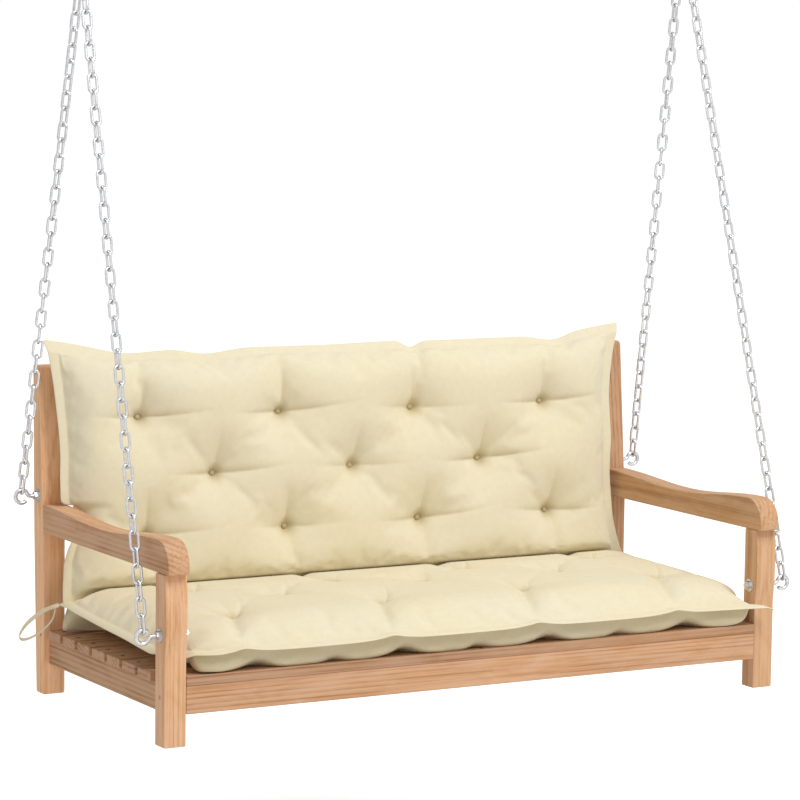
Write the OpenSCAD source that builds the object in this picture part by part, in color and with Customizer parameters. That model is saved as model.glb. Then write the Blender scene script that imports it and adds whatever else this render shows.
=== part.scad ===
// Porch swing seat: a slatted hardwood bench that hangs on four chains from two ceiling hangers.
// Millimetres. The origin lies on the ceiling plane, midway between the hangers.
// +X runs along the bench, +Y to its back, +Z up.
// The bench itself is drawn in its own frame (x = 0 in the middle, y = 0 at the front faces of the
// front posts, z = 0 at the feet), which bench() then hangs below the ceiling.

/* [Posts] */
// Width of the bench over the outer faces of its posts
bench_w = 1200; // [1000:10:1500]
// Width of every post, along the bench
post_w = 40; // [34:1:50]
// Depth of a front post, front to back
front_post_d = 34; // [30:1:44]
// How far a front post's face swells forward above the seat
front_post_bow = 5; // [0:0.5:8]
// From the front face of the front posts to that of the rear posts
rear_post_y = 490; // [440:5:560]
// Height of a rear post
rear_post_h = 575; // [500:5:680]
// Depth of a rear post at its foot
rear_foot_d = 31; // [28:1:38]
// Depth of a rear post at the arm
rear_waist_d = 42; // [38:1:50]
// Depth of a rear post at its top
rear_top_d = 20; // [16:1:30]
// Height at which a rear post begins to lean back
lean_z = 275; // [230:5:285]
// Lean of the back, in degrees
lean_angle = 5.1; // [0:0.1:9]

/* [Arms] */
// Height of the underside of the arms
arm_z = 285; // [260:5:340]
// Height of an arm where it meets the rear post
arm_rear_h = 50; // [44:1:60]
// Height of an arm at its hollow
arm_dip_h = 40; // [36:1:44]
// Height of an arm over the front post
arm_front_h = 55; // [46:1:62]
// How far an arm's nose stands out in front of its post
arm_nose = 14; // [4:1:30]
// Length of the rounded nose
arm_nose_l = 46; // [30:1:60]

/* [Seat] */
// Height of the underside of the seat rails
rail_z = 53; // [35:1:80]
// Height of the seat rails
rail_h = 47.5; // [38:0.5:60]
// Thickness of the seat rails
rail_t = 22; // [18:1:24]
// How far a side rail lies inside the outer face of its post
side_rail_inset = 11; // [4:0.5:14]
// Width of a seat slat
slat_w = 50; // [40:1:54]
// Thickness of a seat slat
slat_t = 16; // [12:0.5:20]
// Gap between two seat slats
slat_gap = 11; // [7:0.5:16]
// How far the front slat stands out in front of the posts
slat_lead = 1; // [0:0.5:6]
// How far the ends of the seat slats lie inside the outer faces of the posts
slat_end_inset = 3; // [0:0.5:8]

/* [Back] */
// Height of the underside of the lower back rail
back_low_z = 150; // [135:5:190]
// Height of the lower back rail
back_low_h = 45; // [35:1:60]
// Height of the upper back rail
back_top_h = 55; // [40:1:70]
// How far the upper back rail lies below the post tops
back_top_drop = 15; // [8:1:40]
// Thickness of both back rails
back_rail_t = 20; // [16:1:20]
// Width of a back slat
back_slat_w = 45; // [30:1:60]
// Thickness of a back slat
back_slat_t = 12; // [9:0.5:14]
// Number of back slats
back_slat_count = 11; // [11:1:11]

/* [Joinery] */
// Length of the tenons
tenon_l = 20; // [14:1:24]
// Thickness of the tenons
tenon_t = 10; // [8:0.5:14]
// Step from the edge of a rail to its tenon
tenon_shoulder = 6; // [3:0.5:10]
// Clearance round a tenon, and past its end
tenon_fit = 0.1; // [0.05:0.05:0.3]
// Diameter of the plugs over the joint pins
plug_d = 8; // [6:1:10]
// Length of the plugs
plug_l = 8; // [5:1:9]
// Head diameter of the slat screws
screw_head_d = 8; // [6:0.5:9]
// Shank diameter of the slat screws
screw_d = 4; // [3:0.5:5]
// Length of the slat screws
screw_l = 38; // [30:1:45]

/* [Hook bolts] */
// Height of the front hook bolts
front_hook_z = 184; // [170:1:215]
// Height of the rear hook bolts
rear_hook_z = 348; // [330:1:420]
// From the outer face of a post to the middle of a hook's eye
hook_out = 31; // [30:0.5:38]
// Wire diameter of the hook bolts
hook_wire = 7; // [6:0.5:8]
// Radius of a hook's eye, to the middle of the wire
hook_r = 11.25; // [11:0.25:12]
// Radius of the bend between eye and shank
hook_neck_r = 8; // [6:0.5:9]
// How much of the eye stays open, in degrees
hook_opening = 45; // [35:1:60]
// Clearance round a hook bolt in its post
bolt_fit = 0.25; // [0.1:0.05:0.5]
// Width across the flats of the hook nuts
nut_af = 13; // [12:0.5:15]
// Thickness of the hook nuts
nut_t = 6.5; // [5:0.5:8]
// Radius of the washers
washer_r = 11.5; // [9:0.5:14]
// Thickness of the washers
washer_t = 1.6; // [1:0.1:2.5]
// How far the bolt's end stands out past the inner nut
bolt_end = 3; // [1:0.5:6]

/* [Chains] */
// Wire diameter of a link
link_wire = 4.5; // [4:0.25:4.75]
// Inner length of a link
link_in_l = 27.5; // [26:0.5:30]
// Inner width of a link
link_in_w = 10; // [9.75:0.25:12]
// Links in each front chain
front_links = 43; // [41:1:45]
// Links in each rear chain
rear_links = 36; // [34:1:38]
// Play between neighbouring links, and at a chain's two ends
link_play = 0.3; // [0.2:0.05:0.5]
// How far the chains lean in towards the middle on their way up
chain_lean = 31; // [10:1:60]
// From the middle of a ring to each of the two chains on it
chain_spread = 5; // [4:0.5:7]

/* [Hangers] */
// Wire diameter of the ring that carries two chains
ring_wire = 8; // [7:0.5:9]
// Radius of that ring, to the middle of the wire
ring_r = 22; // [20:1:30]
// Play of the ring in its strap
ring_play = 0.6; // [0.5:0.1:1]
// Width of a strap
strap_w = 26; // [24:1:32]
// Thickness of a strap
strap_t = 6; // [4:0.5:7]
// From the pivot bolt to the ring's hole
strap_l = 50; // [45:1:70]
// Radius of the ring's hole in the strap
strap_hole_r = 6; // [5.5:0.25:7]
// Gap between the strap and each ear
strap_play = 0.3; // [0.2:0.05:0.5]
// Radius of the pivot bolt
pivot_r = 5; // [4:0.5:6]
// Running clearance of the strap on its pivot bolt
pivot_fit = 0.05; // [0.02:0.01:0.1]
// From the ceiling to the pivot bolt
pivot_drop = 34; // [30:1:50]
// Thickness of the hanger plate and of its ears
plate_t = 5; // [4:0.5:8]
// Length of the hanger plate, front to back
plate_l = 100; // [90:1:140]
// Width of the hanger plate
plate_w = 50; // [46:1:70]
// Width of the ears
ear_w = 32; // [28:1:40]
// Distance between the two ceiling screws of a plate
screw_spacing = 70; // [60:1:76]
// Radius of the ceiling screw holes
ceiling_hole_r = 4.5; // [3:0.5:6]

/* [Cushions] */
// Gap between a cushion and what it lies on
cushion_gap = 0.3; // [0.2:0.1:1]
// Thickness of the seat cushion between its buttons
seat_pad_t = 76; // [64:1:86]
// Height of the seat cushion's seam above its underside, at the front
seat_seam_h = 32; // [20:1:40]
// How much higher that seam lies at the rear
seat_seam_lift = 18; // [0:1:24]
// How far the seat cushion stands out in front of the posts
seat_pad_lead = 18; // [5:1:30]
// How far the seat cushion's sides lie inside the posts' outer faces
seat_pad_side = 10; // [4:1:30]
// Thickness of the back cushion between its buttons
back_pad_t = 76; // [60:1:86]
// From the back cushion's rear face to its seam
back_seam_h = 34; // [20:1:40]
// Height of the back cushion
back_pad_h = 429; // [380:1:440]
// How far the back cushion's left side lies inside the post's outer face
back_pad_left = 10; // [4:1:30]
// How far the back cushion's right side lies inside the post's outer face
back_pad_right = 50; // [44:1:60]
// Thickness of the sewn lip round a cushion
lip_t = 4; // [2:0.5:6]
// Width of that lip
lip_w = 18; // [8:1:24]
// From the seam to where a cover has swollen to its full height
swell_reach = 100; // [50:5:120]
// The same on the side that lies against the bench
under_reach = 28; // [16:2:30]
// Distance between two buttons in a row
tuft_pitch = 275; // [240:5:300]
// Distance between the rows of buttons on the seat cushion
seat_row_pitch = 110; // [100:5:140]
// Distance between the rows of buttons on the back cushion
back_row_pitch = 101; // [80:1:110]
// How much of the seat cover's height its buttons take back
seat_tuft_pull = 0.44; // [0:0.02:0.8]
// How much of the back cover's height its buttons take back
back_tuft_pull = 0.72; // [0:0.02:0.8]
// How far round a button its cover is drawn in
tuft_reach = 46; // [30:1:60]
// How far the back cushion's buttons lie to the left of its middle
back_tuft_shift = 12; // [0:1:20]
// How far they lie below its middle
back_tuft_drop = 14; // [0:1:20]
// How far the seat cushion's buttons lie to the right of its middle
seat_tuft_shift = 18; // [0:1:24]
// How far they lie behind its middle
seat_tuft_back = 11; // [0:1:20]
// Thickness of the tie tape
tie_d = 4; // [3:0.5:6]

/* [Hidden] */
$fn = 48;
eps = 0.01;
sides = ["left", "right"];
ends = ["front", "rear"];

// Posts: the rear post's front and rear edges at height z
half_w = bench_w / 2;
inner_x = half_w - post_w;
lean_slope = tan(lean_angle);
rear_waist_y = rear_post_y + rear_waist_d;
rear_top_y = rear_front_y(rear_post_h) + rear_top_d;
bow_z = arm_z / 2 + 8;
function rear_front_y(z) = rear_post_y + max(0, z - lean_z) * lean_slope;
function rear_back_y(z) = z < arm_z
    ? rear_post_y + rear_foot_d + (rear_waist_d - rear_foot_d) * z / arm_z
    : rear_waist_y + (rear_top_y - rear_waist_y) * (z - arm_z) / (rear_post_h - arm_z);
function rear_mid_y(z) = (rear_front_y(z) + rear_back_y(z)) / 2;
function bow_y(z) = z < bow_z ? 0 : -front_post_bow * sin(180 * (z - bow_z) / (arm_z - bow_z));

// Arms
arm_dip_y = rear_post_y * 0.53;
arm_nose_back_y = arm_nose_l - arm_nose;
arm_mid_z = arm_z + arm_dip_h / 2;
arm_tenon_h = arm_dip_h - 2 * tenon_shoulder;
post_tenon = [post_w - 2 * tenon_shoulder, front_post_d - 2 * tenon_shoulder, tenon_l];
nose_power = 2.3;
function ease(a, b, t) = a + (b - a) * (1 - cos(180 * t)) / 2;
function arm_top_h(y) = y > arm_dip_y
    ? ease(arm_dip_h, arm_rear_h, min(1, (y - arm_dip_y) / (rear_post_y - arm_dip_y)))
    : ease(arm_front_h, arm_dip_h, (y - arm_nose_back_y) / (arm_dip_y - arm_nose_back_y));

// Seat frame
rail_top_z = rail_z + rail_h;
slat_top_z = rail_top_z + slat_t;
rail_tenon = [tenon_l, tenon_t, rail_h - 2 * tenon_shoulder];
side_rail_x = half_w - side_rail_inset - rail_t / 2;
rear_rail_y = rear_mid_y(rail_z + rail_h / 2);
side_rear_y = rear_post_y + tenon_l;
slat_pitch = slat_w + slat_gap;
slat_count = floor((rear_post_y + slat_lead + slat_gap) / slat_pitch);
function slat_y(i) = -slat_lead + slat_w / 2 + (i - 1) * slat_pitch;
function slat_half_l(i) = slat_y(i) - slat_w / 2 < front_post_d ? inner_x : half_w - slat_end_inset;

// Back frame: the slats run from the middle of the lower rail to the middle of the upper one
back_low_y = rear_mid_y(back_low_z + back_low_h / 2);
back_top_z = rear_post_h - back_top_drop - back_top_h;
back_top_y = rear_mid_y(back_top_z + back_top_h / 2);
back_low_tenon = [tenon_l, tenon_t, back_low_h - 2 * tenon_shoulder];
back_top_tenon = [tenon_l, tenon_t, back_top_h - 2 * tenon_shoulder];
back_slat_low_z = back_low_z + back_low_h - tenon_l;
back_slat_top_z = back_top_z + tenon_l;
back_slat_lean = atan2(back_top_y - back_low_y, back_slat_top_z - back_slat_low_z);
back_slat_gap = (2 * inner_x - back_slat_count * back_slat_w) / (back_slat_count + 1);
function back_slat_x(i) = -inner_x + i * back_slat_gap + (i - 0.5) * back_slat_w;

// Hook bolts: the middle of an eye, on the right
hook_x = half_w + hook_out;
front_hook = [hook_x, front_post_d / 2, front_hook_z];
rear_hook = [hook_x, rear_mid_y(rear_hook_z), rear_hook_z];
// Where the chains pull: the middle of the wire at the top of each eye
front_pull = front_hook + [0, 0, hook_r];
rear_pull = rear_hook + [0, 0, hook_r];
hook_bore_r = hook_wire / 2 + bolt_fit;
neck_x = sqrt(pow(hook_r, 2) + 2 * hook_r * hook_neck_r);
neck_angle = atan2(hook_neck_r, neck_x);
neck_draw = 0.1; // bending draws the neck's wire this much thinner
bolt_end_x = inner_x - washer_t - nut_t - bolt_end;

// Chains: each runs straight from its hook to its ring, so the numbers of links fix where the rings hang
link_pitch = link_in_l - link_play;
hook_seat = (link_in_l - hook_wire) / 2 - link_play;
ring_seat = (link_in_l - ring_wire) / 2 - 2 * link_play;
apex_x = hook_x - chain_lean;
function reach(links) = hook_seat + (links - 1) * link_pitch + ring_seat;
function link_twist(links) = 180 * floor((links - 1) / 2 + 0.5) / (links - 1);
front_run = sqrt(pow(reach(front_links), 2) - pow(chain_lean - chain_spread, 2));
rear_run = sqrt(pow(reach(rear_links), 2) - pow(chain_lean + chain_spread, 2));
hook_line = [0, rear_hook.y - front_hook.y, rear_hook.z - front_hook.z];
hook_gap = norm(hook_line);
hook_dir = hook_line / hook_gap;
along_line = (pow(front_run, 2) - pow(rear_run, 2) + pow(hook_gap, 2)) / (2 * hook_gap);
off_line = sqrt(pow(front_run, 2) - pow(along_line, 2));
apex_y = front_pull.y + along_line * hook_dir.y - off_line * hook_dir.z;
apex_z = front_pull.z + along_line * hook_dir.z + off_line * hook_dir.y;
ring_rise = ring_r - sqrt(pow(ring_r, 2) - pow(chain_spread, 2));
ring_z = apex_z - ring_rise + ring_r;
front_top = [apex_x + chain_spread, apex_y, apex_z];
rear_top = [apex_x - chain_spread, apex_y, apex_z];

// Hangers, in the ceiling's own frame
strap_r = strap_w / 2;
ear_x = strap_t / 2 + strap_play;
ear_out_x = ear_x + plate_t;
ring_hole_z = -pivot_drop - strap_l;
ring_drop_z = ring_hole_z - (strap_hole_r - ring_wire / 2 - ring_play) - ring_r;
bench_z = ring_drop_z - ring_z;
pivot_head_af = 2 * pivot_r * 1.7;
pivot_head_t = 2 * pivot_r * 0.64;
pivot_nut_t = 2 * pivot_r * 0.8;
sway_z = ring_drop_z + ring_r - ring_wire / 2;

// Cushions
seat_pad_z = slat_top_z + cushion_gap;
seat_pad_rear_y = rear_post_y - 4;
seat_pad_x = half_w - seat_pad_side;
pad_notch = 3;
// The back cushion leans on the posts, or on the upper edge of the top rail if that stands prouder
back_pad_y = min(rear_post_y,
    back_top_y - back_rail_t / 2 - (back_top_z + back_top_h - lean_z) * lean_slope) - cushion_gap;
// Its lip stands on the seat cushion, where that has begun to swell from its rear seam
seat_middle = [seat_tuft_shift, (seat_pad_rear_y - seat_pad_lead) / 2 + seat_tuft_back];
back_lip_out = back_seam_h + lip_t / 2;
function seat_seam_z(y) = seat_pad_z + seat_seam_h
    + seat_seam_lift * part_way(y, -seat_pad_lead, seat_pad_rear_y);
function foot_y(z) = back_pad_y - back_lip_out / cos(lean_angle) - (lean_z - z) * lean_slope;
function seat_top_z(y) = let (lip_top_z = seat_seam_z(y) + lip_t / 2) lip_top_z
    + (seat_pad_z + seat_pad_t - lip_top_z) * swollen(seat_pad_rear_y - lip_w - y, swell_reach)
        * max([for (k = [-3:0.5:3]) left_by([seat_middle.x + k * tuft_pitch / 2, y],
                                            tufts(seat_middle, seat_row_pitch), seat_tuft_pull)]);
function foot_z(z, tries = 4) = tries == 0 ? z : foot_z(seat_top_z(foot_y(z)) + cushion_gap, tries - 1);
back_foot_z = foot_z(seat_pad_z + seat_pad_t);
back_pad_z = lean_z + (back_foot_z - lean_z) / cos(lean_angle) - back_lip_out * lean_slope;

// The tie: route of the tape loop, out from the seam at the cushion's rear left corner and back to it
tie_x = seat_pad_x + cushion_gap / 2;
tie_out_y = 446;
tie_back_y = 452;
tie_z = seat_seam_z((tie_out_y + tie_back_y) / 2);
tie_route = [
    [-tie_x, tie_out_y, tie_z], [-tie_x - 4, tie_out_y, tie_z], [-600, 446, 163], [-609, 445, 161],
    [-620, 445, 157], [-634, 447, 148.5], [-647, 449, 138], [-656, 452, 126], [-660, 455, 115],
    [-656, 458, 108.5], [-646, 459, 107.5], [-633, 459, 111], [-620, 458, 118], [-609, 456, 127],
    [-600, 454, 138], [-595.5, 453, 150], [-tie_x - 4, tie_back_y, tie_z - 1.5],
    [-tie_x, tie_back_y, tie_z - 1]];
tie_sides = 8;

// ---- Shared helpers ----

// Hangs what is drawn in the bench's frame below the ceiling
module bench() {
    translate([0, -apex_y, bench_z]) children();
}

// Draws a right-hand piece, or its left-hand mirror
module on_side(side) {
    mirror([side == "left" ? 1 : 0, 0, 0]) children();
}

// A board of the given size about its centre
module board(centre, size) {
    translate(centre) cube(size, center = true);
}

// A tenon along X, from x = 0 outwards; play makes it the mortise
module tenon_x(size, play = 0) {
    translate([-eps, -size.y / 2 - play, -size.z / 2 - play])
        cube([size.x + play + eps, size.y + 2 * play, size.z + 2 * play]);
}

// A tenon along Y, from y = 0 to the back
module tenon_y(size, play = 0) {
    translate([-size.y / 2 - play, -eps, -size.z / 2 - play])
        cube([size.y + 2 * play, size.x + play + eps, size.z + 2 * play]);
}

// A profile in the YZ plane, extruded along X
module side_profile(x, w, points) {
    translate([x, 0, 0])
        rotate([90, 0, 90])
            linear_extrude(w) polygon(points);
}

// A round bar or bore along X, from x0 to x1
module rod_x(x0, x1, y, z, r) {
    translate([x0, y, z]) rotate([0, 90, 0]) cylinder(h = x1 - x0, r = r);
}

// ---- Posts and arms ----

module front_post_tenon(play = 0) {
    translate([half_w - post_w / 2 - post_tenon.x / 2 - play,
               front_post_d / 2 - post_tenon.y / 2 - play, arm_z - eps])
        cube([post_tenon.x + 2 * play, post_tenon.y + 2 * play, post_tenon.z + play + eps]);
}

module front_post(side) {
    color([0.80, 0.60, 0.42])
    bench() on_side(side) {
        difference() {
            union() {
                side_profile(inner_x, post_w, concat(
                    [[front_post_d, arm_z], [front_post_d, 0], [0, 0]],
                    [for (k = [0:9]) let (z = bow_z + (arm_z - bow_z) * k / 9) [bow_y(z), z]]));
                front_post_tenon();
            }
            rod_x(inner_x - 1, half_w + 1, front_hook.y, front_hook.z, hook_bore_r);
            front_rail_tenon(tenon_fit);
            side_rail_tenon_front(tenon_fit);
            plug_holes("front");
        }
    }
}

module rear_post(side) {
    color([0.80, 0.60, 0.42])
    bench() on_side(side) {
        difference() {
            side_profile(inner_x, post_w, [
                [rear_post_y, 0], [rear_post_y, lean_z],
                [rear_front_y(rear_post_h), rear_post_h - 4],
                [rear_front_y(rear_post_h) + 4, rear_post_h],
                [rear_top_y, rear_post_h], [rear_waist_y, arm_z], [rear_post_y + rear_foot_d, 0]]);
            rod_x(inner_x - 1, half_w + 1, rear_hook.y, rear_hook.z, hook_bore_r);
            rear_rail_tenon(tenon_fit);
            side_rail_tenon_rear(tenon_fit);
            back_rail_tenon(back_low_y, back_low_z + back_low_h / 2, back_low_tenon, tenon_fit);
            back_rail_tenon(back_top_y, back_top_z + back_top_h / 2, back_top_tenon, tenon_fit);
            arm_tenon(tenon_fit);
            plug_holes("rear");
        }
    }
}

module arm_tenon(play = 0) {
    translate([half_w - post_w / 2, rear_post_y, arm_mid_z])
        tenon_y([tenon_l, tenon_t, arm_tenon_h], play);
}

module armrest(side) {
    top = [for (k = [0:16])
        let (y = arm_nose_back_y + (rear_post_y - arm_nose_back_y) * k / 16)
        [y, arm_z + arm_top_h(y)]];
    nose = [for (a = [0:10:80])
        [arm_nose_back_y - arm_nose_l * pow(cos(a), 2 / nose_power),
         arm_z + arm_front_h * pow(sin(a), 2 / nose_power)]];
    color([0.78, 0.57, 0.38])
    bench() on_side(side) {
        difference() {
            side_profile(inner_x, post_w, concat(
                nose, top,
                [[rear_front_y(arm_z + arm_rear_h), arm_z + arm_rear_h], [rear_post_y, lean_z + 10],
                 [rear_post_y, arm_z]]));
            front_post_tenon(tenon_fit);
            side_profile(inner_x - 1, post_w + 2, [
                [rear_post_y, 0], [rear_post_y, lean_z],
                [rear_front_y(rear_post_h), rear_post_h],
                [rear_front_y(rear_post_h) + 50, rear_post_h], [rear_post_y + 50, 0]]);
        }
        arm_tenon();
    }
}

// ---- Seat ----

module front_rail_tenon(play = 0) {
    translate([inner_x, rail_t / 2, rail_z + rail_h / 2]) tenon_x(rail_tenon, play);
}

module rear_rail_tenon(play = 0) {
    translate([inner_x, rear_rail_y, rail_z + rail_h / 2]) tenon_x(rail_tenon, play);
}

// The side rail's tenons stop short of the tenons of the front and rear rails
side_tenon = [8, tenon_t, rail_h - 2 * tenon_shoulder];

module side_rail_tenon_front(play = 0) {
    translate([side_rail_x, front_post_d, rail_z + rail_h / 2])
        mirror([0, 1, 0]) tenon_y(side_tenon, play);
}

module side_rail_tenon_rear(play = 0) {
    translate([side_rail_x, rear_post_y, rail_z + rail_h / 2]) tenon_y(side_tenon, play);
}

module front_rail() {
    color([0.80, 0.60, 0.42])
    bench() difference() {
        union() {
            board([0, rail_t / 2, rail_z + rail_h / 2], [2 * inner_x, rail_t, rail_h]);
            for (s = sides) on_side(s) front_rail_tenon();
        }
        bearer_tenon_front(tenon_fit);
        screw_pilots();
    }
}

module rear_rail() {
    color([0.78, 0.57, 0.38])
    bench() difference() {
        union() {
            board([0, rear_rail_y, rail_z + rail_h / 2], [2 * inner_x, rail_t, rail_h]);
            for (s = sides) on_side(s) rear_rail_tenon();
        }
        bearer_tenon_rear(tenon_fit);
    }
}

module side_rail(side) {
    length = rear_post_y - front_post_d;
    color([0.76, 0.55, 0.37])
    bench() on_side(side) difference() {
        union() {
            board([side_rail_x, front_post_d + length / 2, rail_z + rail_h / 2], [rail_t, length, rail_h]);
            side_rail_tenon_front();
            side_rail_tenon_rear();
        }
        screw_pilots();
    }
}

// The bearer under the middle of the slats, tenoned into the front and rear rails
bearer_tenon = [rail_t / 2, tenon_t, rail_h - 2 * tenon_shoulder];
bearer_rear_y = rear_rail_y - rail_t / 2;

module bearer_tenon_front(play = 0) {
    translate([0, rail_t, rail_z + rail_h / 2]) mirror([0, 1, 0]) tenon_y(bearer_tenon, play);
}

module bearer_tenon_rear(play = 0) {
    translate([0, bearer_rear_y, rail_z + rail_h / 2]) tenon_y(bearer_tenon, play);
}

module seat_bearer() {
    length = bearer_rear_y - rail_t;
    color([0.76, 0.55, 0.37])
    bench() difference() {
        union() {
            board([0, rail_t + length / 2, rail_z + rail_h / 2], [rail_t, length, rail_h]);
            bearer_tenon_front();
            bearer_tenon_rear();
        }
        screw_pilots();
    }
}

module seat_slat(i) {
    color([0.80, 0.61, 0.43])
    bench() difference() {
        board([0, slat_y(i), rail_top_z + slat_t / 2], [2 * slat_half_l(i), slat_w, slat_t]);
        for (p = screw_places(i)) translate([p.x, p.y, 0]) screw(tenon_fit);
    }
}

// Where slat i is screwed down: to the front rail and the bearer, or to the side rails and the bearer
function screw_places(i) = i == 1
    ? [for (k = [-1, 0, 1]) [k * inner_x * 0.9, rail_t / 2]]
    : [for (k = [-1, 0, 1]) [k * side_rail_x, slat_y(i)]];

// A countersunk screw whose head is flush with the slats; play makes it the hole
module screw(play = 0) {
    head_h = (screw_head_d - screw_d) / 2;
    translate([0, 0, slat_top_z - head_h])
        cylinder(h = head_h, r1 = screw_d / 2 + play, r2 = screw_head_d / 2 + play);
    translate([0, 0, slat_top_z - screw_l - play])
        cylinder(h = screw_l - head_h + play, r = screw_d / 2 + play);
}

module screw_pilots() {
    for (i = [1:slat_count], p = screw_places(i)) translate([p.x, p.y, 0]) screw(tenon_fit);
}

module slat_screws() {
    color([0.72, 0.70, 0.64])
    bench() for (i = [1:slat_count], p = screw_places(i)) translate([p.x, p.y, 0]) screw();
}

// ---- Back ----

module back_rail_tenon(y, z, size, play = 0) {
    translate([inner_x, y, z]) tenon_x(size, play);
}

module back_rail(y, z, h, size) {
    difference() {
        union() {
            board([0, y, z + h / 2], [2 * inner_x, back_rail_t, h]);
            for (s = sides) on_side(s) back_rail_tenon(y, z + h / 2, size);
        }
        for (i = [1:back_slat_count]) back_slat_body(i, tenon_fit);
    }
}

module back_top_rail() {
    color([0.80, 0.60, 0.42])
    bench() back_rail(back_top_y, back_top_z, back_top_h, back_top_tenon);
}

module back_bottom_rail() {
    color([0.78, 0.57, 0.38])
    bench() back_rail(back_low_y, back_low_z, back_low_h, back_low_tenon);
}

module back_slat_body(i, play = 0) {
    length = (back_slat_top_z - back_slat_low_z) / cos(back_slat_lean);
    translate([back_slat_x(i), back_low_y, back_slat_low_z])
        rotate([-back_slat_lean, 0, 0])
            translate([-back_slat_w / 2 - play, -back_slat_t / 2 - play, -play])
                cube([back_slat_w + 2 * play, back_slat_t + 2 * play, length + 2 * play]);
}

module back_slat(i) {
    color([0.80, 0.61, 0.43])
    bench() back_slat_body(i);
}

// ---- Joint plugs ----

plug_spots = [
    ["front", front_post_d / 2, rail_z + rail_h * 0.61],
    ["rear", rear_post_y + 12, rail_z + rail_h * 1.1]];

module plug(spot, play = 0) {
    rod_x(half_w - plug_l - play, half_w + (play > 0 ? 1 : 0), spot[1], spot[2], plug_d / 2 + play);
}

module plug_holes(end) {
    for (spot = plug_spots) if (spot[0] == end) plug(spot, tenon_fit);
}

module joint_plugs() {
    color([0.62, 0.42, 0.27])
    bench() for (s = sides, spot = plug_spots) on_side(s) plug(spot);
}

// ---- Hook bolts ----

function hook_of(end) = end == "front" ? front_hook : rear_hook;

// A turn of wire in the XZ plane about a centre, from angle a0 on through the given sweep
module wire_arc(centre, r, a0, sweep, wire) {
    translate(centre) rotate([90, 0, 0])
        rotate([0, 0, a0]) rotate_extrude(angle = sweep, convexity = 2)
            translate([r, 0]) circle(d = wire, $fn = 24);
}

// Open hook with its shank through the post. The front left hook is turned over, its tip up.
module hook_bolt(end, side) {
    at_eye = hook_of(end);
    turned = end == "front" && side == "left";
    color([0.78, 0.79, 0.80])
    bench() on_side(side) {
        translate(at_eye) mirror([0, 0, turned ? 1 : 0]) {
            wire_arc([0, 0, 0], hook_r, 180 - neck_angle - (360 - neck_angle - hook_opening),
                     360 - neck_angle - hook_opening, hook_wire);
            wire_arc([-neck_x, 0, hook_neck_r], hook_neck_r, -90, 90 - neck_angle, hook_wire - neck_draw);
        }
        rod_x(bolt_end_x, hook_x - neck_x, at_eye.y, at_eye.z, hook_wire / 2);
    }
}

module hook_nut(x, y, z) {
    difference() {
        translate([x, y, z]) rotate([0, 90, 0]) rotate([0, 0, 30])
            cylinder(h = nut_t, d = nut_af / cos(30), $fn = 6);
        rod_x(x - 1, x + nut_t + 1, y, z, hook_wire / 2 + tenon_fit);
    }
}

module hook_washer(x, y, z) {
    difference() {
        rod_x(x, x + washer_t, y, z, washer_r);
        rod_x(x - 1, x + washer_t + 1, y, z, hook_wire / 2 + bolt_fit);
    }
}

module hook_nuts() {
    color([0.74, 0.75, 0.77])
    bench() for (s = sides, e = ends) on_side(s) {
        hook_nut(half_w + washer_t, hook_of(e).y, hook_of(e).z);
        hook_nut(inner_x - washer_t - nut_t, hook_of(e).y, hook_of(e).z);
    }
}

module hook_washers() {
    color([0.74, 0.75, 0.77])
    bench() for (s = sides, e = ends) on_side(s) {
        hook_washer(half_w, hook_of(e).y, hook_of(e).z);
        hook_washer(inner_x - washer_t, hook_of(e).y, hook_of(e).z);
    }
}

// ---- Chains ----

// One link about its centre: long axis Z, flat in the YZ plane
module link() {
    bow_r = (link_in_w + link_wire) / 2;
    straight = link_in_l - link_in_w;
    for (s = [-1, 1]) {
        translate([0, s * bow_r, 0]) cylinder(h = straight, d = link_wire, center = true, $fn = 24);
        translate([0, 0, s * straight / 2]) rotate([0, 90, 0])
            rotate([0, 0, s > 0 ? 90 : -90]) rotate_extrude(angle = 180, convexity = 2)
                translate([bow_r, 0]) circle(d = link_wire, $fn = 24);
    }
}

// A straight chain from the eye of a hook up to its ring
module chain_run(from, to, links) {
    dir = (to - from) / norm(to - from);
    for (k = [0:links - 1])
        translate(from + dir * (hook_seat + k * link_pitch))
            rotate([atan2(-dir.y, dir.z), 0, 0])
                rotate([0, asin(dir.x), 0])
                    rotate([0, 0, k * link_twist(links)]) link();
}

module chain(end, side) {
    color([0.76, 0.77, 0.79])
    bench() on_side(side) {
        if (end == "front") chain_run(front_pull, front_top, front_links);
        else chain_run(rear_pull, rear_top, rear_links);
    }
}

// ---- Rings, straps and hangers ----

module ring(side) {
    color([0.76, 0.77, 0.79])
    on_side(side) translate([apex_x, 0, ring_drop_z]) rotate([90, 0, 0])
        rotate_extrude(convexity = 2) translate([ring_r, 0]) circle(d = ring_wire, $fn = 32);
}

module strap(side) {
    color([0.72, 0.73, 0.75])
    on_side(side) difference() {
        union() {
            board([apex_x, 0, -pivot_drop - strap_l / 2], [strap_t, strap_w, strap_l]);
            for (z = [-pivot_drop, ring_hole_z])
                rod_x(apex_x - strap_t / 2, apex_x + strap_t / 2, 0, z, strap_r);
        }
        rod_x(apex_x - strap_t, apex_x + strap_t, 0, -pivot_drop, pivot_r + pivot_fit);
        rod_x(apex_x - strap_t, apex_x + strap_t, 0, ring_hole_z, strap_hole_r);
    }
}

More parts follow.
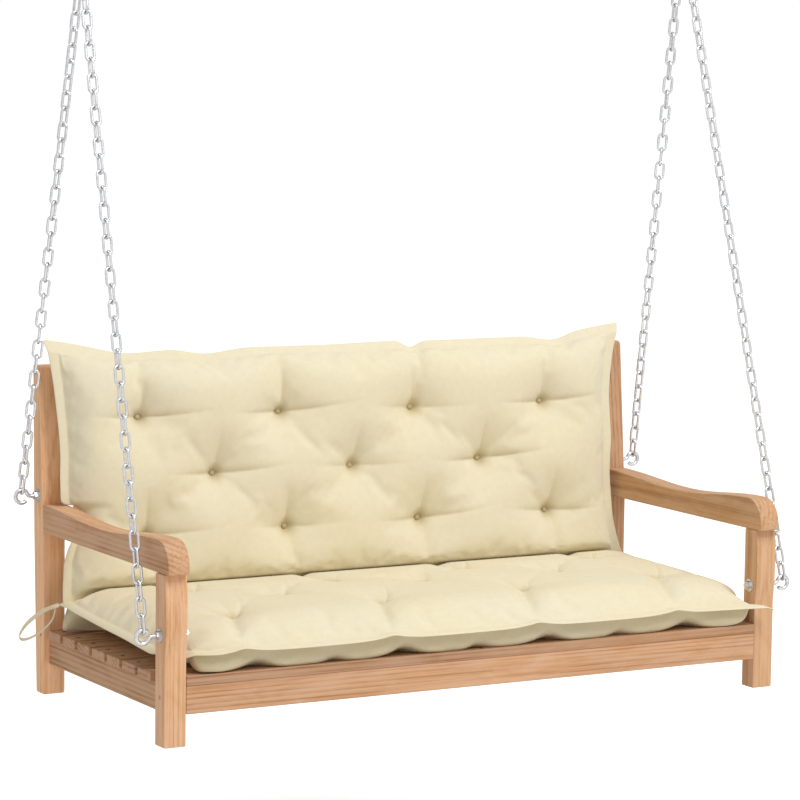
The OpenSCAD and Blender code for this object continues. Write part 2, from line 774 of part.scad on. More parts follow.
module hanger_plate(side) {
    color([0.70, 0.71, 0.73])
    on_side(side) difference() {
        union() {
            board([apex_x, 0, -plate_t / 2], [plate_w, plate_l, plate_t]);
            for (k = [-1, 1]) translate([k > 0 ? apex_x + ear_x : apex_x - ear_out_x, 0, 0]) {
                board([plate_t / 2, 0, -pivot_drop / 2 - plate_t / 4],
                      [plate_t, ear_w, pivot_drop - plate_t / 2]);
                rod_x(0, plate_t, 0, -pivot_drop, ear_w / 2);
            }
        }
        rod_x(apex_x - plate_w, apex_x + plate_w, 0, -pivot_drop, pivot_r + tenon_fit);
        for (k = [-1, 1]) translate([apex_x, k * screw_spacing / 2, -plate_t - 1])
            cylinder(h = plate_t + 2, r = ceiling_hole_r);
    }
}

module pivot_bolts() {
    color([0.78, 0.79, 0.80])
    for (s = sides) on_side(s) {
        rod_x(apex_x - ear_out_x, apex_x + ear_out_x + pivot_nut_t + 2, 0, -pivot_drop, pivot_r);
        translate([apex_x - ear_out_x - pivot_head_t, 0, -pivot_drop]) rotate([0, 90, 0])
            cylinder(h = pivot_head_t, d = pivot_head_af / cos(30), $fn = 6);
    }
}

module pivot_nuts() {
    color([0.74, 0.75, 0.77])
    for (s = sides) on_side(s) difference() {
        translate([apex_x + ear_out_x, 0, -pivot_drop]) rotate([0, 90, 0])
            cylinder(h = pivot_nut_t, d = pivot_head_af / cos(30), $fn = 6);
        rod_x(apex_x, apex_x + ear_out_x + pivot_nut_t + 3, 0, -pivot_drop, pivot_r + tenon_fit);
    }
}

// ---- Cushions ----

// How much of its lift a seam has gained at place p on its way from a to b: little at first, all at b
function part_way(p, a, b) = pow((p - a) / (b - a), 2);
// How far a cover has swollen, from 0 to 1, at distance e from its seam
function swollen(e, reach) = sqrt(1 - pow(1 - min(1, max(0, e) / reach), 2));
// Three rows of buttons: four in the outer rows, three between them in the middle one
function tufts(middle, row_pitch) = [for (row = [-1:1], k = row == 0 ? [-1:1] : [-1.5:1.5])
    middle + [k * tuft_pitch, row * row_pitch]];
// The share of its height that the buttons leave a cover at point p: a cusp at each button, fading round it
function left_by(p, places, pull, i = 0) = i == len(places) ? 1
    : (1 - pull * exp(-norm([(p.x - places[i].x) / 1.3, p.y - places[i].y]) / tuft_reach))
        * left_by(p, places, pull, i + 1);
// Lines across a cover from a to b: edge, seam, steep rise and inner line, then in step with the buttons
function marks(a, b, middle, step, inner_b = lip_w + under_reach) =
    let (low = a + lip_w + under_reach, high = b - inner_b, early = swell_reach / 14)
    concat([a, a + lip_w, a + lip_w + early, low],
        [for (k = [ceil((low - middle) / step + 0.3) : floor((high - middle) / step - 0.3)])
            middle + k * step],
        [high, b - lip_w - early, b - lip_w, b]);

// A tufted cushion over the rectangle from corner a to corner b, t thick, its seam at height seam and higher
// by lift at b: two covers sewn to a flat lip, the upper one drawn in by the buttons
module quilt(a, b, t, seam, middle, row_pitch, pull, lift = 0, inner_b = lip_w + under_reach) {
    xs = marks(a.x, b.x, middle.x, tuft_pitch / 8);
    ys = marks(a.y, b.y, middle.y, row_pitch / 3, inner_b);
    nx = len(xs);
    ny = len(ys);
    places = tufts(middle, row_pitch);
    function rise(x, y, reach) = swollen(min(x - a.x, b.x - x) - lip_w, reach)
        * swollen(min(y - a.y, b.y - y) - lip_w, reach);
    function at(i, j) = j * nx + i;
    upper = [for (y = ys, x = xs) let (lip_top = seam + lift * part_way(y, a.y, b.y) + lip_t / 2)
        [x, y, lip_top + (t - lip_top) * rise(x, y, swell_reach) * left_by([x, y], places, pull)]];
    under = [for (y = ys, x = xs) let (lip_under = seam + lift * part_way(y, a.y, b.y) - lip_t / 2)
        [x, y, lip_under * (1 - rise(x, y, under_reach))]];
    n = nx * ny;
    rim = concat([for (i = [0:nx - 1]) at(i, 0)], [for (j = [1:ny - 1]) at(nx - 1, j)],
        [for (i = [nx - 2:-1:0]) at(i, ny - 1)], [for (j = [ny - 2:-1:1]) at(0, j)]);
    covers = [for (j = [0:ny - 2], i = [0:nx - 2])
        each [[at(i, j), at(i, j + 1), at(i + 1, j + 1)], [at(i, j), at(i + 1, j + 1), at(i + 1, j)],
              [n + at(i, j), n + at(i + 1, j + 1), n + at(i, j + 1)],
              [n + at(i, j), n + at(i + 1, j), n + at(i + 1, j + 1)]]];
    edges = [for (k = [0:len(rim) - 1]) let (p = rim[k], q = rim[(k + 1) % len(rim)])
        each [[p, q, n + q], [p, n + q, n + p]]];
    polyhedron(concat(upper, under), concat(covers, edges));
}

module seat_cushion() {
    color([0.93, 0.90, 0.80])
    bench() difference() {
        translate([0, 0, seat_pad_z])
            quilt([-seat_pad_x, -seat_pad_lead], [seat_pad_x, seat_pad_rear_y], seat_pad_t, seat_seam_h,
                  seat_middle, seat_row_pitch, seat_tuft_pull, seat_seam_lift,
                  seat_pad_rear_y - foot_y(back_foot_z));
        for (s = sides) on_side(s)
            translate([inner_x - pad_notch, s == "left" ? -seat_pad_lead - 1 : -pad_notch, 0])
                cube([post_w + 2 * pad_notch,
                      front_post_d + pad_notch + (s == "left" ? seat_pad_lead + 1 : pad_notch), arm_z]);
    }
}

module back_cushion() {
    color([0.93, 0.90, 0.80])
    bench() difference() {
        translate([0, back_pad_y, lean_z]) rotate([-lean_angle, 0, 0])
            translate([0, 0, back_pad_z - lean_z]) rotate([90, 0, 0])
                quilt([-half_w + back_pad_left, 0], [half_w - back_pad_right, back_pad_h],
                      back_pad_t, back_seam_h,
                      [(back_pad_left - back_pad_right) / 2 - back_tuft_shift,
                       back_pad_h / 2 - back_tuft_drop],
                      back_row_pitch, back_tuft_pull);
        translate([-half_w, 0, arm_z - pad_notch])
            cube([post_w + pad_notch, rear_post_y + 50, arm_rear_h + 2 * pad_notch]);
    }
}

// A tube swept along points: one ring of tie_sides corners at each point, square to the route
module cushion_tie() {
    n = len(tie_route);
    function heading(i) = let (d = tie_route[min(i + 1, n - 1)] - tie_route[max(i - 1, 0)]) d / norm(d);
    function ring_at(i) = let (
            d = heading(i),
            u = cross(d, [0, 1, 0]) / norm(cross(d, [0, 1, 0])),
            v = cross(d, u))
        [for (k = [0:tie_sides - 1])
            tie_route[i] + tie_d / 2 * (u * cos(360 * k / tie_sides) + v * sin(360 * k / tie_sides))];
    side_faces = [for (i = [0:n - 2], k = [0:tie_sides - 1])
        let (j = (k + 1) % tie_sides)
        [i * tie_sides + k, i * tie_sides + j, (i + 1) * tie_sides + j, (i + 1) * tie_sides + k]];
    end_faces = [[for (k = [tie_sides - 1:-1:0]) k], [for (k = [0:tie_sides - 1]) (n - 1) * tie_sides + k]];
    color([0.90, 0.87, 0.76])
    bench() polyhedron([for (i = [0:n - 1]) each ring_at(i)], concat(side_faces, end_faces));
}

// ---- The nodes ----

for (s = sides) {
    front_post(s);
    rear_post(s);
    armrest(s);
    side_rail(s);
    ring(s);
    strap(s);
    hanger_plate(s);
    for (e = ends) {
        hook_bolt(e, s);
        chain(e, s);
    }
}
for (i = [1:slat_count]) seat_slat(i);
for (i = [1:back_slat_count]) back_slat(i);
front_rail();
rear_rail();
seat_bearer();
slat_screws();
back_top_rail();
back_bottom_rail();
joint_plugs();
hook_nuts();
hook_washers();
pivot_bolts();
pivot_nuts();
seat_cushion();
back_cushion();
cushion_tie();
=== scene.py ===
import math

import bpy
import numpy as np
from mathutils import Matrix, Vector
from mathutils.bvhtree import BVHTree


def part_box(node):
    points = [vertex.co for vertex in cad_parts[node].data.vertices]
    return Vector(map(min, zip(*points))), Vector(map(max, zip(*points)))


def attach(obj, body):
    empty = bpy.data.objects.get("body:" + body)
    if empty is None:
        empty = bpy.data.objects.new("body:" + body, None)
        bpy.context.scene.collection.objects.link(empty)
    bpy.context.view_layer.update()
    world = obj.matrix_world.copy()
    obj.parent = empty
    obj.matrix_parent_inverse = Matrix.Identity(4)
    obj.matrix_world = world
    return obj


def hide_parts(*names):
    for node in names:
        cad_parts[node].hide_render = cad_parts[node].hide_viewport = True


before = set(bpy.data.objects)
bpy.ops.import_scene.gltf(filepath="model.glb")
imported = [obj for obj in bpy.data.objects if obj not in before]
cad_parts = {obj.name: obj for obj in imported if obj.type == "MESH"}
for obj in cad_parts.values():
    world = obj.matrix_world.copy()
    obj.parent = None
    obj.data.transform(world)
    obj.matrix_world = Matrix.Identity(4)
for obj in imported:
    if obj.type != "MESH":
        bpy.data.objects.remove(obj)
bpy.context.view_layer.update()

bl_info = {
    "name": "Porch Swing Seat",
    "version": (1, 0, 0),
    "blender": (4, 5, 0),
    "location": "3D View > Sidebar > Porch Swing",
    "description": "Dresses a slatted porch swing seat: teak boards, zinc chains and hooks, "
                   "tufted cushions with a tie",
    "category": "Object",
}

MM = 0.001
# The bench's own origin in the shared frame: midway along it, at its front posts' front faces and at its feet
BENCH = Vector((0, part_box("front_rail")[0].y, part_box("front_post_left")[0].z))

SIDES = ("left", "right")
SEAT_SLATS = [f"seat_slat_{i}" for i in range(1, 9)]
BACK_SLATS = [f"back_slat_{i}" for i in range(1, 12)]
CORNERS = [(end, side) for end in ("front", "rear") for side in SIDES]
POSTS = [f"{end}_post_{side}" for end, side in CORNERS]
ARMS = [f"armrest_{side}" for side in SIDES]
SIDE_RAILS = [f"side_rail_{side}" for side in SIDES] + ["seat_bearer"]
LONG_RAILS = ["front_rail", "rear_rail", "back_bottom_rail", "back_top_rail"]
CHAINS = [f"chain_{end}_{side}" for end, side in CORNERS]
HOOKS = [f"hook_bolt_{end}_{side}" for end, side in CORNERS]

# The cushions and what they lie against, metres in the bench's frame
BACK_LEAN = math.radians(5.1)
BACK_FOOT_Y, BACK_FOOT_Z, LEAN_Z = 0.4888, 0.17912, 0.275
BACK_LEFT, BACK_RIGHT, BACK_HEIGHT, BACK_SEAM = -0.590, 0.550, 0.429, 0.034
SEAT_HALF, SEAT_FRONT, SEAT_REAR = 0.590, -0.018, 0.486
SEAT_UNDER, SEAT_CROWN = 0.1168, 0.1945
# The seat cushion's seam above its underside: at the front, and how much higher it lies at the rear
SEAT_SEAM, SEAT_SEAM_LIFT = 0.032, 0.018
# The posts' and arms' inner faces, where a cushion is beside the arms by height, and where it is beside the
# front posts by place from front to rear
INNER_X, BESIDE_ARMS, BESIDE_POSTS = 0.560, (0.285, 0.336), (-0.004, 0.037)
# What a cushion keeps clear of a post or an arm, and how far it presses into what it lies against
SIDE_GAP, BACK_PRESS, SEAT_PRESS = 0.003, 0.0002, 0.0001

# The tie's route from the cushion's seam and back to it, millimetres in the bench's frame
TIE_X, TIE_Z = 590.15, 164.25
TAPE_THICK, TIE_STEPS = 0.0014, 10
# Which way the tape is wide where it leaves the seam, and where it comes back
TAPE_OUT, TAPE_BACK = (0.25, 0.2, 1.0), (0.2, 1.0, 0.15)
TIE_ROUTE = [
    (-TIE_X, 446, TIE_Z), (-TIE_X - 4, 446, TIE_Z), (-600, 446, 163), (-609, 445, 161), (-620, 445, 157),
    (-634, 447, 148.5), (-647, 449, 138), (-656, 452, 126), (-660, 455, 115), (-656, 458, 108.5),
    (-646, 459, 107.5), (-633, 459, 111), (-620, 458, 118), (-609, 456, 127), (-600, 454, 138),
    (-595.5, 453, 150), (-TIE_X - 4, 452, TIE_Z - 1.5), (-TIE_X, 452, TIE_Z - 1)]


# ---- Sizes and colours ----

def colour_prop(name, text, default):
    return bpy.props.FloatVectorProperty(
        name=name, description=text, default=default, size=3, min=0, max=1, subtype="COLOR_GAMMA")


def number_prop(name, text, default, low, high, **more):
    return bpy.props.FloatProperty(name=name, description=text, default=default, min=low, max=high, **more)


def length_prop(name, text, default, low, high):
    return number_prop(name, text, default, low, high, precision=4, unit="LENGTH", subtype="DISTANCE")


class SwingTimber(bpy.types.PropertyGroup):
    """Teak boards."""
    ease: length_prop("Eased Edge", "How far a rail's or post's edges are rounded over", 0.0022, 0, 0.004)
    slat_ease: length_prop("Eased Slat Edge", "How far a slat's edges are rounded over", 0.0016, 0, 0.004)
    arm_ease: length_prop("Eased Arm Edge", "How far an arm's edges are rounded over", 0.0036, 0, 0.006)
    light: colour_prop("Light Grain", "Colour of the pale early wood", (0.875, 0.690, 0.530))
    middle: colour_prop("Middle Grain", "Colour of most of the wood", (0.822, 0.632, 0.470))
    dark: colour_prop("Dark Grain", "Colour of the dark late wood", (0.690, 0.485, 0.325))
    ring: length_prop("Ring Width", "Distance between two growth rings", 0.0085, 0.002, 0.03)


class SwingCushions(bpy.types.PropertyGroup):
    """Tufted cushions and their tie."""
    cloth: colour_prop("Cloth", "Colour of the cover", (0.915, 0.872, 0.755))
    thread: colour_prop("Weave Shade", "Colour between the yarns", (0.845, 0.798, 0.665))
    # The buttons' darker cloth is painted shade of the pits they sit in
    shaded_button_cloth: colour_prop("Shaded Button Cloth", "Colour of the covered buttons", (0.740, 0.680, 0.530))
    lip: length_prop("Lip Width", "Width of the sewn lip round a cushion", 0.018, 0.008, 0.03)
    lip_thick: length_prop("Lip Thickness", "Thickness of the sewn lip", 0.0036, 0.002, 0.008)
    button: length_prop("Button Diameter", "Diameter of the tufting buttons", 0.0115, 0.006, 0.02)
    crease: length_prop("Crease Depth", "Depth of the folds that run out from a button", 0.0075, 0, 0.012)
    pressure: number_prop("Filling Pressure", "How hard the filling presses on the cover", 5, 0, 12)
    frames: bpy.props.IntProperty(
        name="Settling Frames", description="Frames that the cover is given to settle",
        default=20, min=2, max=40)
    yarn: length_prop("Yarn Width", "Width of one yarn of the weave", 0.0009, 0.0004, 0.003)
    tape: length_prop("Tape Width", "Width of the tie's tape", 0.007, 0.004, 0.012)


class SwingHardware(bpy.types.PropertyGroup):
    """Chains, hooks, hangers and screws."""
    zinc: colour_prop("Zinc", "Colour of the bright zinc plating", (0.930, 0.932, 0.940))
    chain: colour_prop("Chain Steel", "Colour of the plated chain", (0.940, 0.942, 0.950))
    dull: colour_prop("Dull Zinc", "Colour of the plating where it has dulled", (0.620, 0.625, 0.640))
    rim: colour_prop("Grazing Tint", "Colour of the plating seen at a grazing angle", (0.18, 0.18, 0.20))
    hanger: colour_prop("Hanger Steel", "Colour of the hangers at the ceiling", (0.720, 0.725, 0.735))
    screw: colour_prop("Screw Steel", "Colour of the slats' screws", (0.700, 0.690, 0.660))


class SwingStage(bpy.types.PropertyGroup):
    """Floor, light and camera."""
    floor_drop: length_prop("Floor Drop", "How far the floor lies below the bench's feet", 0.42, 0.1, 1.5)
    floor: colour_prop("Floor", "Colour of the floor", (0.96, 0.96, 0.96))
    near_glow: number_prop(
        "Floor Glow", "How much whiter than lit the floor shows under the bench", 0.31, 0, 1)
    far_glow: number_prop("Backdrop Glow", "How much whiter than lit the floor shows far away", 0.6, 0, 1)
    ambient: number_prop("Ambient Light", "Strength of the light from all round", 0.56, 0, 2)
    key: number_prop("Key Lamp", "Power of the large lamp high before the bench", 204, 0, 1000, unit="POWER")
    lens: number_prop(
        "Lens", "Focal length of the camera", 154.68, 20, 400, unit="CAMERA", subtype="DISTANCE_CAMERA")


# ---- Working in Blender ----

def deselect():
    """Leaves nothing selected, before a primitive is added."""
    bpy.ops.object.select_all(action="DESELECT")


def only(*pieces):
    """Leaves these pieces selected, the first one active."""
    deselect()
    for piece in pieces:
        piece.select_set(True)
    bpy.context.view_layer.objects.active = pieces[0]


def mode(name):
    bpy.ops.object.mode_set(mode=name)


def smooth(piece, degrees):
    """Shades a piece smooth, except over edges sharper than this."""
    only(piece)
    bpy.ops.object.shade_smooth_by_angle(angle=math.radians(degrees))


def as_piece(name):
    """Names the new primitive and puts its place into its mesh."""
    piece = bpy.context.object
    piece.name = piece.data.name = name
    bpy.ops.object.transform_apply(location=True, rotation=True, scale=True)
    return piece


def link_new(name, data):
    """Puts a new object with this data in the scene."""
    piece = bpy.data.objects.new(name, data)
    bpy.context.scene.collection.objects.link(piece)
    return piece


def apply_modifier(piece, kind, **settings):
    """Adds a modifier and applies it at once."""
    modifier = piece.modifiers.new(kind.lower(), kind)
    for key, value in settings.items():
        setattr(modifier, key, value)
    only(piece)
    bpy.ops.object.modifier_apply(modifier=modifier.name)


def coat(piece, material):
    """Gives a piece one finish all over."""
    piece.data.materials.clear()
    piece.data.materials.append(material)


def hang(piece, material, nodes=()):
    """Hangs a finished piece on the seat: its finish, and the CAD nodes that it stands for."""
    coat(piece, material)
    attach(piece, "seat")
    if nodes:
        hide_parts(*nodes)


def points_of(piece):
    points = np.zeros(len(piece.data.vertices) * 3)
    piece.data.vertices.foreach_get("co", points)
    return points.reshape(-1, 3)


def write_points(piece, points):
    piece.data.vertices.foreach_set("co", points.ravel())
    piece.data.update()


def read(piece, key):
    """An attribute's value at each point."""
    values = np.zeros(len(piece.data.vertices), np.float32)
    piece.data.attributes[key].data.foreach_get("value", values)
    return values.astype(float)


def write(mesh, key, values):
    """Gives a mesh an attribute with a value for each point."""
    attribute = mesh.attributes.new(key, "FLOAT", "POINT")
    attribute.data.foreach_set("value", values.astype(np.float32))


def smooth_step(t):
    t = np.clip(t, 0, 1)
    return t * t * (3 - 2 * t)


def step_at(x, place, width):
    """A smooth step from 0 to 1 that starts at place and takes width."""
    return smooth_step((x - place) / width)


def near(distance, reach):
    """1 at no distance, falling evenly to 0 at reach."""
    return np.clip(1 - distance / reach, 0, 1)


def along(points, x):
    """A smooth line through (x, value) points, which never overshoots them."""
    places, values = np.array(points, float).T
    rates = np.diff(values) / np.diff(places)
    slopes = np.concatenate([rates[:1], np.zeros(len(rates) - 1), rates[-1:]])
    before, after = rates[:-1], rates[1:]
    same = before * after > 0
    slopes[1:-1][same] = 2 * before[same] * after[same] / (before + after)[same]
    x = np.clip(x, places[0], places[-1])
    i = np.clip(np.searchsorted(places, x) - 1, 0, len(places) - 2)
    span = places[i + 1] - places[i]
    t = (x - places[i]) / span
    return ((1 + 2 * t) * (1 - t) ** 2 * values[i] + t * (1 - t) ** 2 * span * slopes[i]
            + t * t * (3 - 2 * t) * values[i + 1] + t * t * (t - 1) * span * slopes[i + 1])


# ---- Materials ----

# What the pores of the wood are multiplied by, and the painted shade that the cloth is multiplied by
PORE_TINT, PAINTED_SHADE_TINT = (0.66, 0.52, 0.42), (0.80, 0.745, 0.60)


def linear(colour):
    """A display colour as the linear one that a shader takes."""
    return (*(c / 12.92 if c <= 0.04045 else ((c + 0.055) / 1.055) ** 2.4 for c in colour), 1.0)


class Graph:
    """A material's or world's nodes. add() makes one and wires its inputs: values or other nodes' outputs."""

    def __init__(self, owner):
        owner.use_nodes = True
        self.owner, self.tree = owner, owner.node_tree
        self.shader = self.tree.nodes.get("Principled BSDF")

    def add(self, kind, inputs=None, **settings):
        node = self.tree.nodes.new("ShaderNode" + kind)
        for key, value in settings.items():
            setattr(node, key, value)
        self.wire(node, inputs or {})
        return node

    def wire(self, node, inputs):
        for key, value in inputs.items():
            if isinstance(value, bpy.types.NodeSocket):
                self.tree.links.new(value, node.inputs[key])
            else:
                node.inputs[key].default_value = value

    def coordinates(self, scale, source="Object"):
        texture = self.add("TexCoord")
        return self.add("Mapping", {"Vector": texture.outputs[source], "Scale": scale}).outputs["Vector"]

    def attribute(self, name):
        return self.add("Attribute", attribute_name=name).outputs["Fac"]

    def noise(self, vector, detail, roughness=0.5, distortion=0.0):
        return self.add("TexNoise", {"Vector": vector, "Scale": 1.0, "Detail": detail, "Roughness": roughness,
                                     "Distortion": distortion}).outputs["Fac"]

    def ramp(self, factor, stops):
        ramp = self.add("ValToRGB", {"Fac": factor})
        elements = ramp.color_ramp.elements
        while len(elements) < len(stops):
            elements.new(0.5)
        for element, (place, colour) in zip(elements, stops):
            element.position = place
            element.color = colour
        return ramp.outputs["Color"]

    def mix(self, kind, factor, first, second):
        inputs = {0: factor, 6: first, 7: second}
        return self.add("Mix", inputs, data_type="RGBA", blend_type=kind).outputs[2]

    def maths(self, operation, first, second=0.0):
        return self.add("Math", {0: first, 1: second}, operation=operation).outputs[0]

    def range(self, value, low, high, from_low=0.0, from_high=1.0):
        return self.add("MapRange", {"Value": value, "From Min": from_low, "From Max": from_high,
                                     "To Min": low, "To Max": high}).outputs[0]

    def bump(self, height, distance, strength=1.0, normal=None):
        inputs = {"Height": height, "Distance": distance, "Strength": strength}
        if normal:
            inputs["Normal"] = normal
        return self.add("Bump", inputs).outputs["Normal"]


def teak(name, grain, tone=1.0, figure=1.0):
    """Oiled teak with its grain along one axis. A higher tone is lighter, and figure strengthens the rings.
    The attribute "board" cuts a board from its own place in the log, and "lighter" sets off its tone."""
    size = bpy.context.scene.swing_timber
    g = Graph(bpy.data.materials.new(name))
    board = g.attribute("board")
    shift = g.add("CombineXYZ", {
        axis: g.maths("MULTIPLY", board, 0.37 + 0.21 * k) for k, axis in enumerate("XYZ")})
    moved = g.add("VectorMath", {0: g.coordinates((1, 1, 1)), 1: shift.outputs["Vector"]})

    def stretched(across, lengthwise):
        scale = [lengthwise if axis == grain else across for axis in "XYZ"]
        return g.add("Mapping", {"Vector": moved.outputs["Vector"], "Scale": scale}).outputs["Vector"]

    def cloud(across, lengthwise, detail, roughness=0.55, distortion=0.0):
        return g.noise(stretched(across, lengthwise), detail, roughness, distortion)

    rings = g.add("TexWave", {
        "Vector": stretched(1.0, 0.035), "Scale": 0.314 / size.ring, "Distortion": 5.5, "Detail": 2.5,
        "Detail Scale": 0.32, "Detail Roughness": 0.55},
        wave_type="RINGS", rings_direction=grain, wave_profile="SIN").outputs["Fac"]
    late_wood = g.maths("POWER", rings, 2.2)
    veins = cloud(260.0, 2.6, 4.0, 0.62, 0.3)
    pores = cloud(1500.0, 38.0, 2.0)
    patches = cloud(11.0, 2.4, 2.0)
    swirl = cloud(34.0, 7.0, 3.0, 0.6, 1.2)
    strength = g.range(patches, 0.10 * figure, 0.52 * figure, 0.36, 0.66)
    late = g.maths("MULTIPLY", late_wood, strength)
    streak = g.maths("ADD", late, g.range(veins, -0.20, 0.30, 0.30, 0.70))
    streak = g.maths("ADD", streak, g.range(swirl, -0.10, 0.14, 0.3, 0.7))
    colour = g.ramp(streak, [
        (0.0, linear(size.light)), (0.24, linear(size.middle)), (0.62, linear(size.dark)),
        (1.0, linear([c * 0.86 for c in size.dark]))])
    colour = g.mix("MULTIPLY", g.range(pores, 0.0, 0.26, 0.60, 0.76), colour, linear(PORE_TINT))
    patch = g.range(patches, 1.03 * tone, 0.955 * tone, 0.35, 0.65)
    shade = g.maths("MULTIPLY", patch, g.range(board, 0.95, 1.045))
    shade = g.maths("MULTIPLY", shade, g.range(g.attribute("lighter"), 0.5, 1.5, -0.5, 0.5))
    finish = g.add("HueSaturation", {
        "Hue": g.range(board, 0.497, 0.502), "Saturation": g.range(swirl, 0.96, 1.05, 0.35, 0.65),
        "Value": shade, "Color": colour})
    normal = g.bump(veins, 0.0005, 0.3, g.bump(pores, 0.0003, 0.3))
    g.wire(g.shader, {
        "Base Color": finish.outputs["Color"], "Roughness": g.range(veins, 0.62, 0.5, 0.35, 0.65),
        "Specular IOR Level": 0.3, "Normal": normal})
    return g.owner


def cover_cloth(name, colour, thread):
    """Closely woven cover cloth. The weave follows the cover's own UV map, which is in metres. The attribute
    "shaded" tells how much painted shade the cloth gets, 0 to 1."""
    size = bpy.context.scene.swing_cushions
    g = Graph(bpy.data.materials.new(name))
    yarns = 0.05 / size.yarn
    warp, weft = (g.add("TexWave", {
        "Vector": g.coordinates((yarns, yarns, 1), "UV"), "Scale": 10.0, "Distortion": 0.35, "Detail": 1.0,
        "Detail Scale": 2.0}, bands_direction=way).outputs["Fac"] for way in "XY")
    weave = g.maths("MULTIPLY", warp, weft)
    slub = g.noise(g.coordinates((90, 90, 90)), 3.0, 0.6)
    mottle = g.noise(g.coordinates((7, 7, 7)), 2.0)
    base = g.mix("MIX", g.range(weave, 0.35, 0.0, 0.0, 0.5), linear(colour), linear(thread))
    # Painted shade: the cloth darkens towards the shade tint as far as its "shaded" attribute says
    base = g.mix("MULTIPLY", g.range(g.attribute("shaded"), 0.0, 0.8), base, linear(PAINTED_SHADE_TINT))
    tone = g.add("HueSaturation", {
        "Hue": 0.5, "Saturation": g.range(mottle, 0.95, 1.06, 0.35, 0.65),
        "Value": g.range(slub, 0.975, 1.02, 0.3, 0.7), "Color": base})
    normal = g.bump(weave, 0.00025, 0.35, g.bump(slub, 0.0004, 0.12))
    g.wire(g.shader, {
        "Base Color": tone.outputs["Color"], "Roughness": g.range(slub, 0.86, 0.95), "Normal": normal,
        "Specular IOR Level": 0.2, "Sheen Weight": 0.12, "Sheen Roughness": 0.5})
    return g.owner


def plated(name, colour, dull, roughness, scale):
    """Bright zinc plating with dull clouds and fine rub marks; scale sets how small they are."""
    g = Graph(bpy.data.materials.new(name))
    clouds = g.noise(g.coordinates((scale,) * 3), 4.0, 0.6)
    rubs = g.noise(g.coordinates((scale * 6, scale * 6, scale * 1.2)), 2.0)
    base = g.mix("MIX", g.range(clouds, 0.0, 0.55, 0.48, 0.78), linear(colour), linear(dull))
    g.wire(g.shader, {
        "Base Color": base, "Metallic": 1.0, "Specular Tint": linear(bpy.context.scene.swing_hardware.rim),
        "Roughness": g.range(clouds, roughness, roughness + 0.16, 0.35, 0.7),
        "Normal": g.bump(rubs, 0.00012, 0.25)})
    return g.owner


# ---- Timber ----

# How near two points count as one, how far across a mortise or bore is at the most, and how far the normals
# of two faces that look at each other across it agree at the most
HAIR, WIDEST_BORE, OPPOSED = 0.00005, 0.06, -0.3
# An edge is eased if the product of its faces' normals is below the first, and its length above the second
BLUNTEST, SHORTEST = 0.86, 0.0025


def board_copy(node):
    """A copy of a CAD board whose loose triangles are joined into clean faces."""
    piece = link_new(f"{node}_board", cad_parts[node].data.copy())
    only(piece)
    bpy.ops.mesh.customdata_custom_splitnormals_clear()
    mode("EDIT")
    bpy.ops.mesh.select_all(action="SELECT")
    bpy.ops.mesh.remove_doubles(threshold=HAIR)
    bpy.ops.mesh.dissolve_limited(angle_limit=math.radians(0.6))
    mode("OBJECT")
    return piece


def mark_outer_edges(mesh):
    """Marks the sharp outer edges for easing, and leaves the rims of mortises, bores and holes as cut."""
    faces = mesh.polygons
    tree = BVHTree.FromPolygons([v.co for v in mesh.vertices], [list(f.vertices) for f in faces])
    inside = []
    for face in faces:
        hit = tree.ray_cast(face.center + face.normal * HAIR, face.normal, WIDEST_BORE)
        inside.append(hit[0] is not None and hit[1].dot(face.normal) < OPPOSED)
    beside = {}
    for face in faces:
        for key in face.edge_keys:
            beside.setdefault(key, []).append(face)
    weights = mesh.attributes.new("bevel_weight_edge", "FLOAT", "EDGE")
    for edge in mesh.edges:
        pair = beside.get(tuple(sorted(edge.vertices)), [])
        if len(pair) != 2:
            continue
        a, b = pair
        start, end = (mesh.vertices[k].co for k in edge.vertices)
        out_of_both = (a.normal + b.normal).dot((start + end) / 2 - (a.center + b.center) / 2) > 0
        sharp = a.normal.dot(b.normal) < BLUNTEST and (start - end).length > SHORTEST
        if sharp and out_of_both and not (inside[a.index] or inside[b.index]):
            weights.data[edge.index].value = 1


# How much lighter or darker a board is than its neighbours
LIGHTER = {
    "front_post_left": 0.06, "rear_post_left": 0.22, "armrest_left": -0.02,
    "front_post_right": -0.11, "rear_post_right": -0.14, "armrest_right": -0.10}


class PORCHSWING_OT_boards(bpy.types.Operator):
    """Dress the posts, arms, rails and slats: eased edges and teak grain along each board"""
    bl_idname = "porchswing.boards"
    bl_label = "Boards"

    def execute(self, context):
        draw = np.random.default_rng(7)
        size = context.scene.swing_timber
        for nodes, ease, finish in (
                (POSTS, size.ease, teak("Teak posts", "Z", 1.03, 0.55)),
                (BACK_SLATS, size.slat_ease, teak("Teak back slats", "Z")),
                (ARMS, size.arm_ease, teak("Teak arms", "Y", 0.92, 0.7)),
                (SIDE_RAILS, size.ease, teak("Teak side rails", "Y", 0.80, 1.4)),
                (LONG_RAILS, size.ease, teak("Teak long rails", "X", 0.96, 0.9)),
                # The seat slats' low tone is painted shade of the cushion that lies on them
                (SEAT_SLATS, size.slat_ease, teak("Shaded teak seat slats", "X", 0.78))):
            for node in nodes:
                piece = board_copy(node)
                mark_outer_edges(piece.data)
                apply_modifier(
                    piece, "BEVEL", width=ease, segments=2, limit_method="WEIGHT", use_clamp_overlap=False)
                smooth(piece, 35)
                apply_modifier(piece, "WEIGHTED_NORMAL", keep_sharp=True, weight=100)
                for key, value in (("board", draw.random()), ("lighter", LIGHTER.get(node, 0))):
                    write(piece.data, key, np.full(len(piece.data.vertices), value))
                hang(piece, finish, [node])
        coat(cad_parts["joint_plugs"], teak("Teak plugs", "X", 0.8))
        return {"FINISHED"}


# ---- Hardware ----

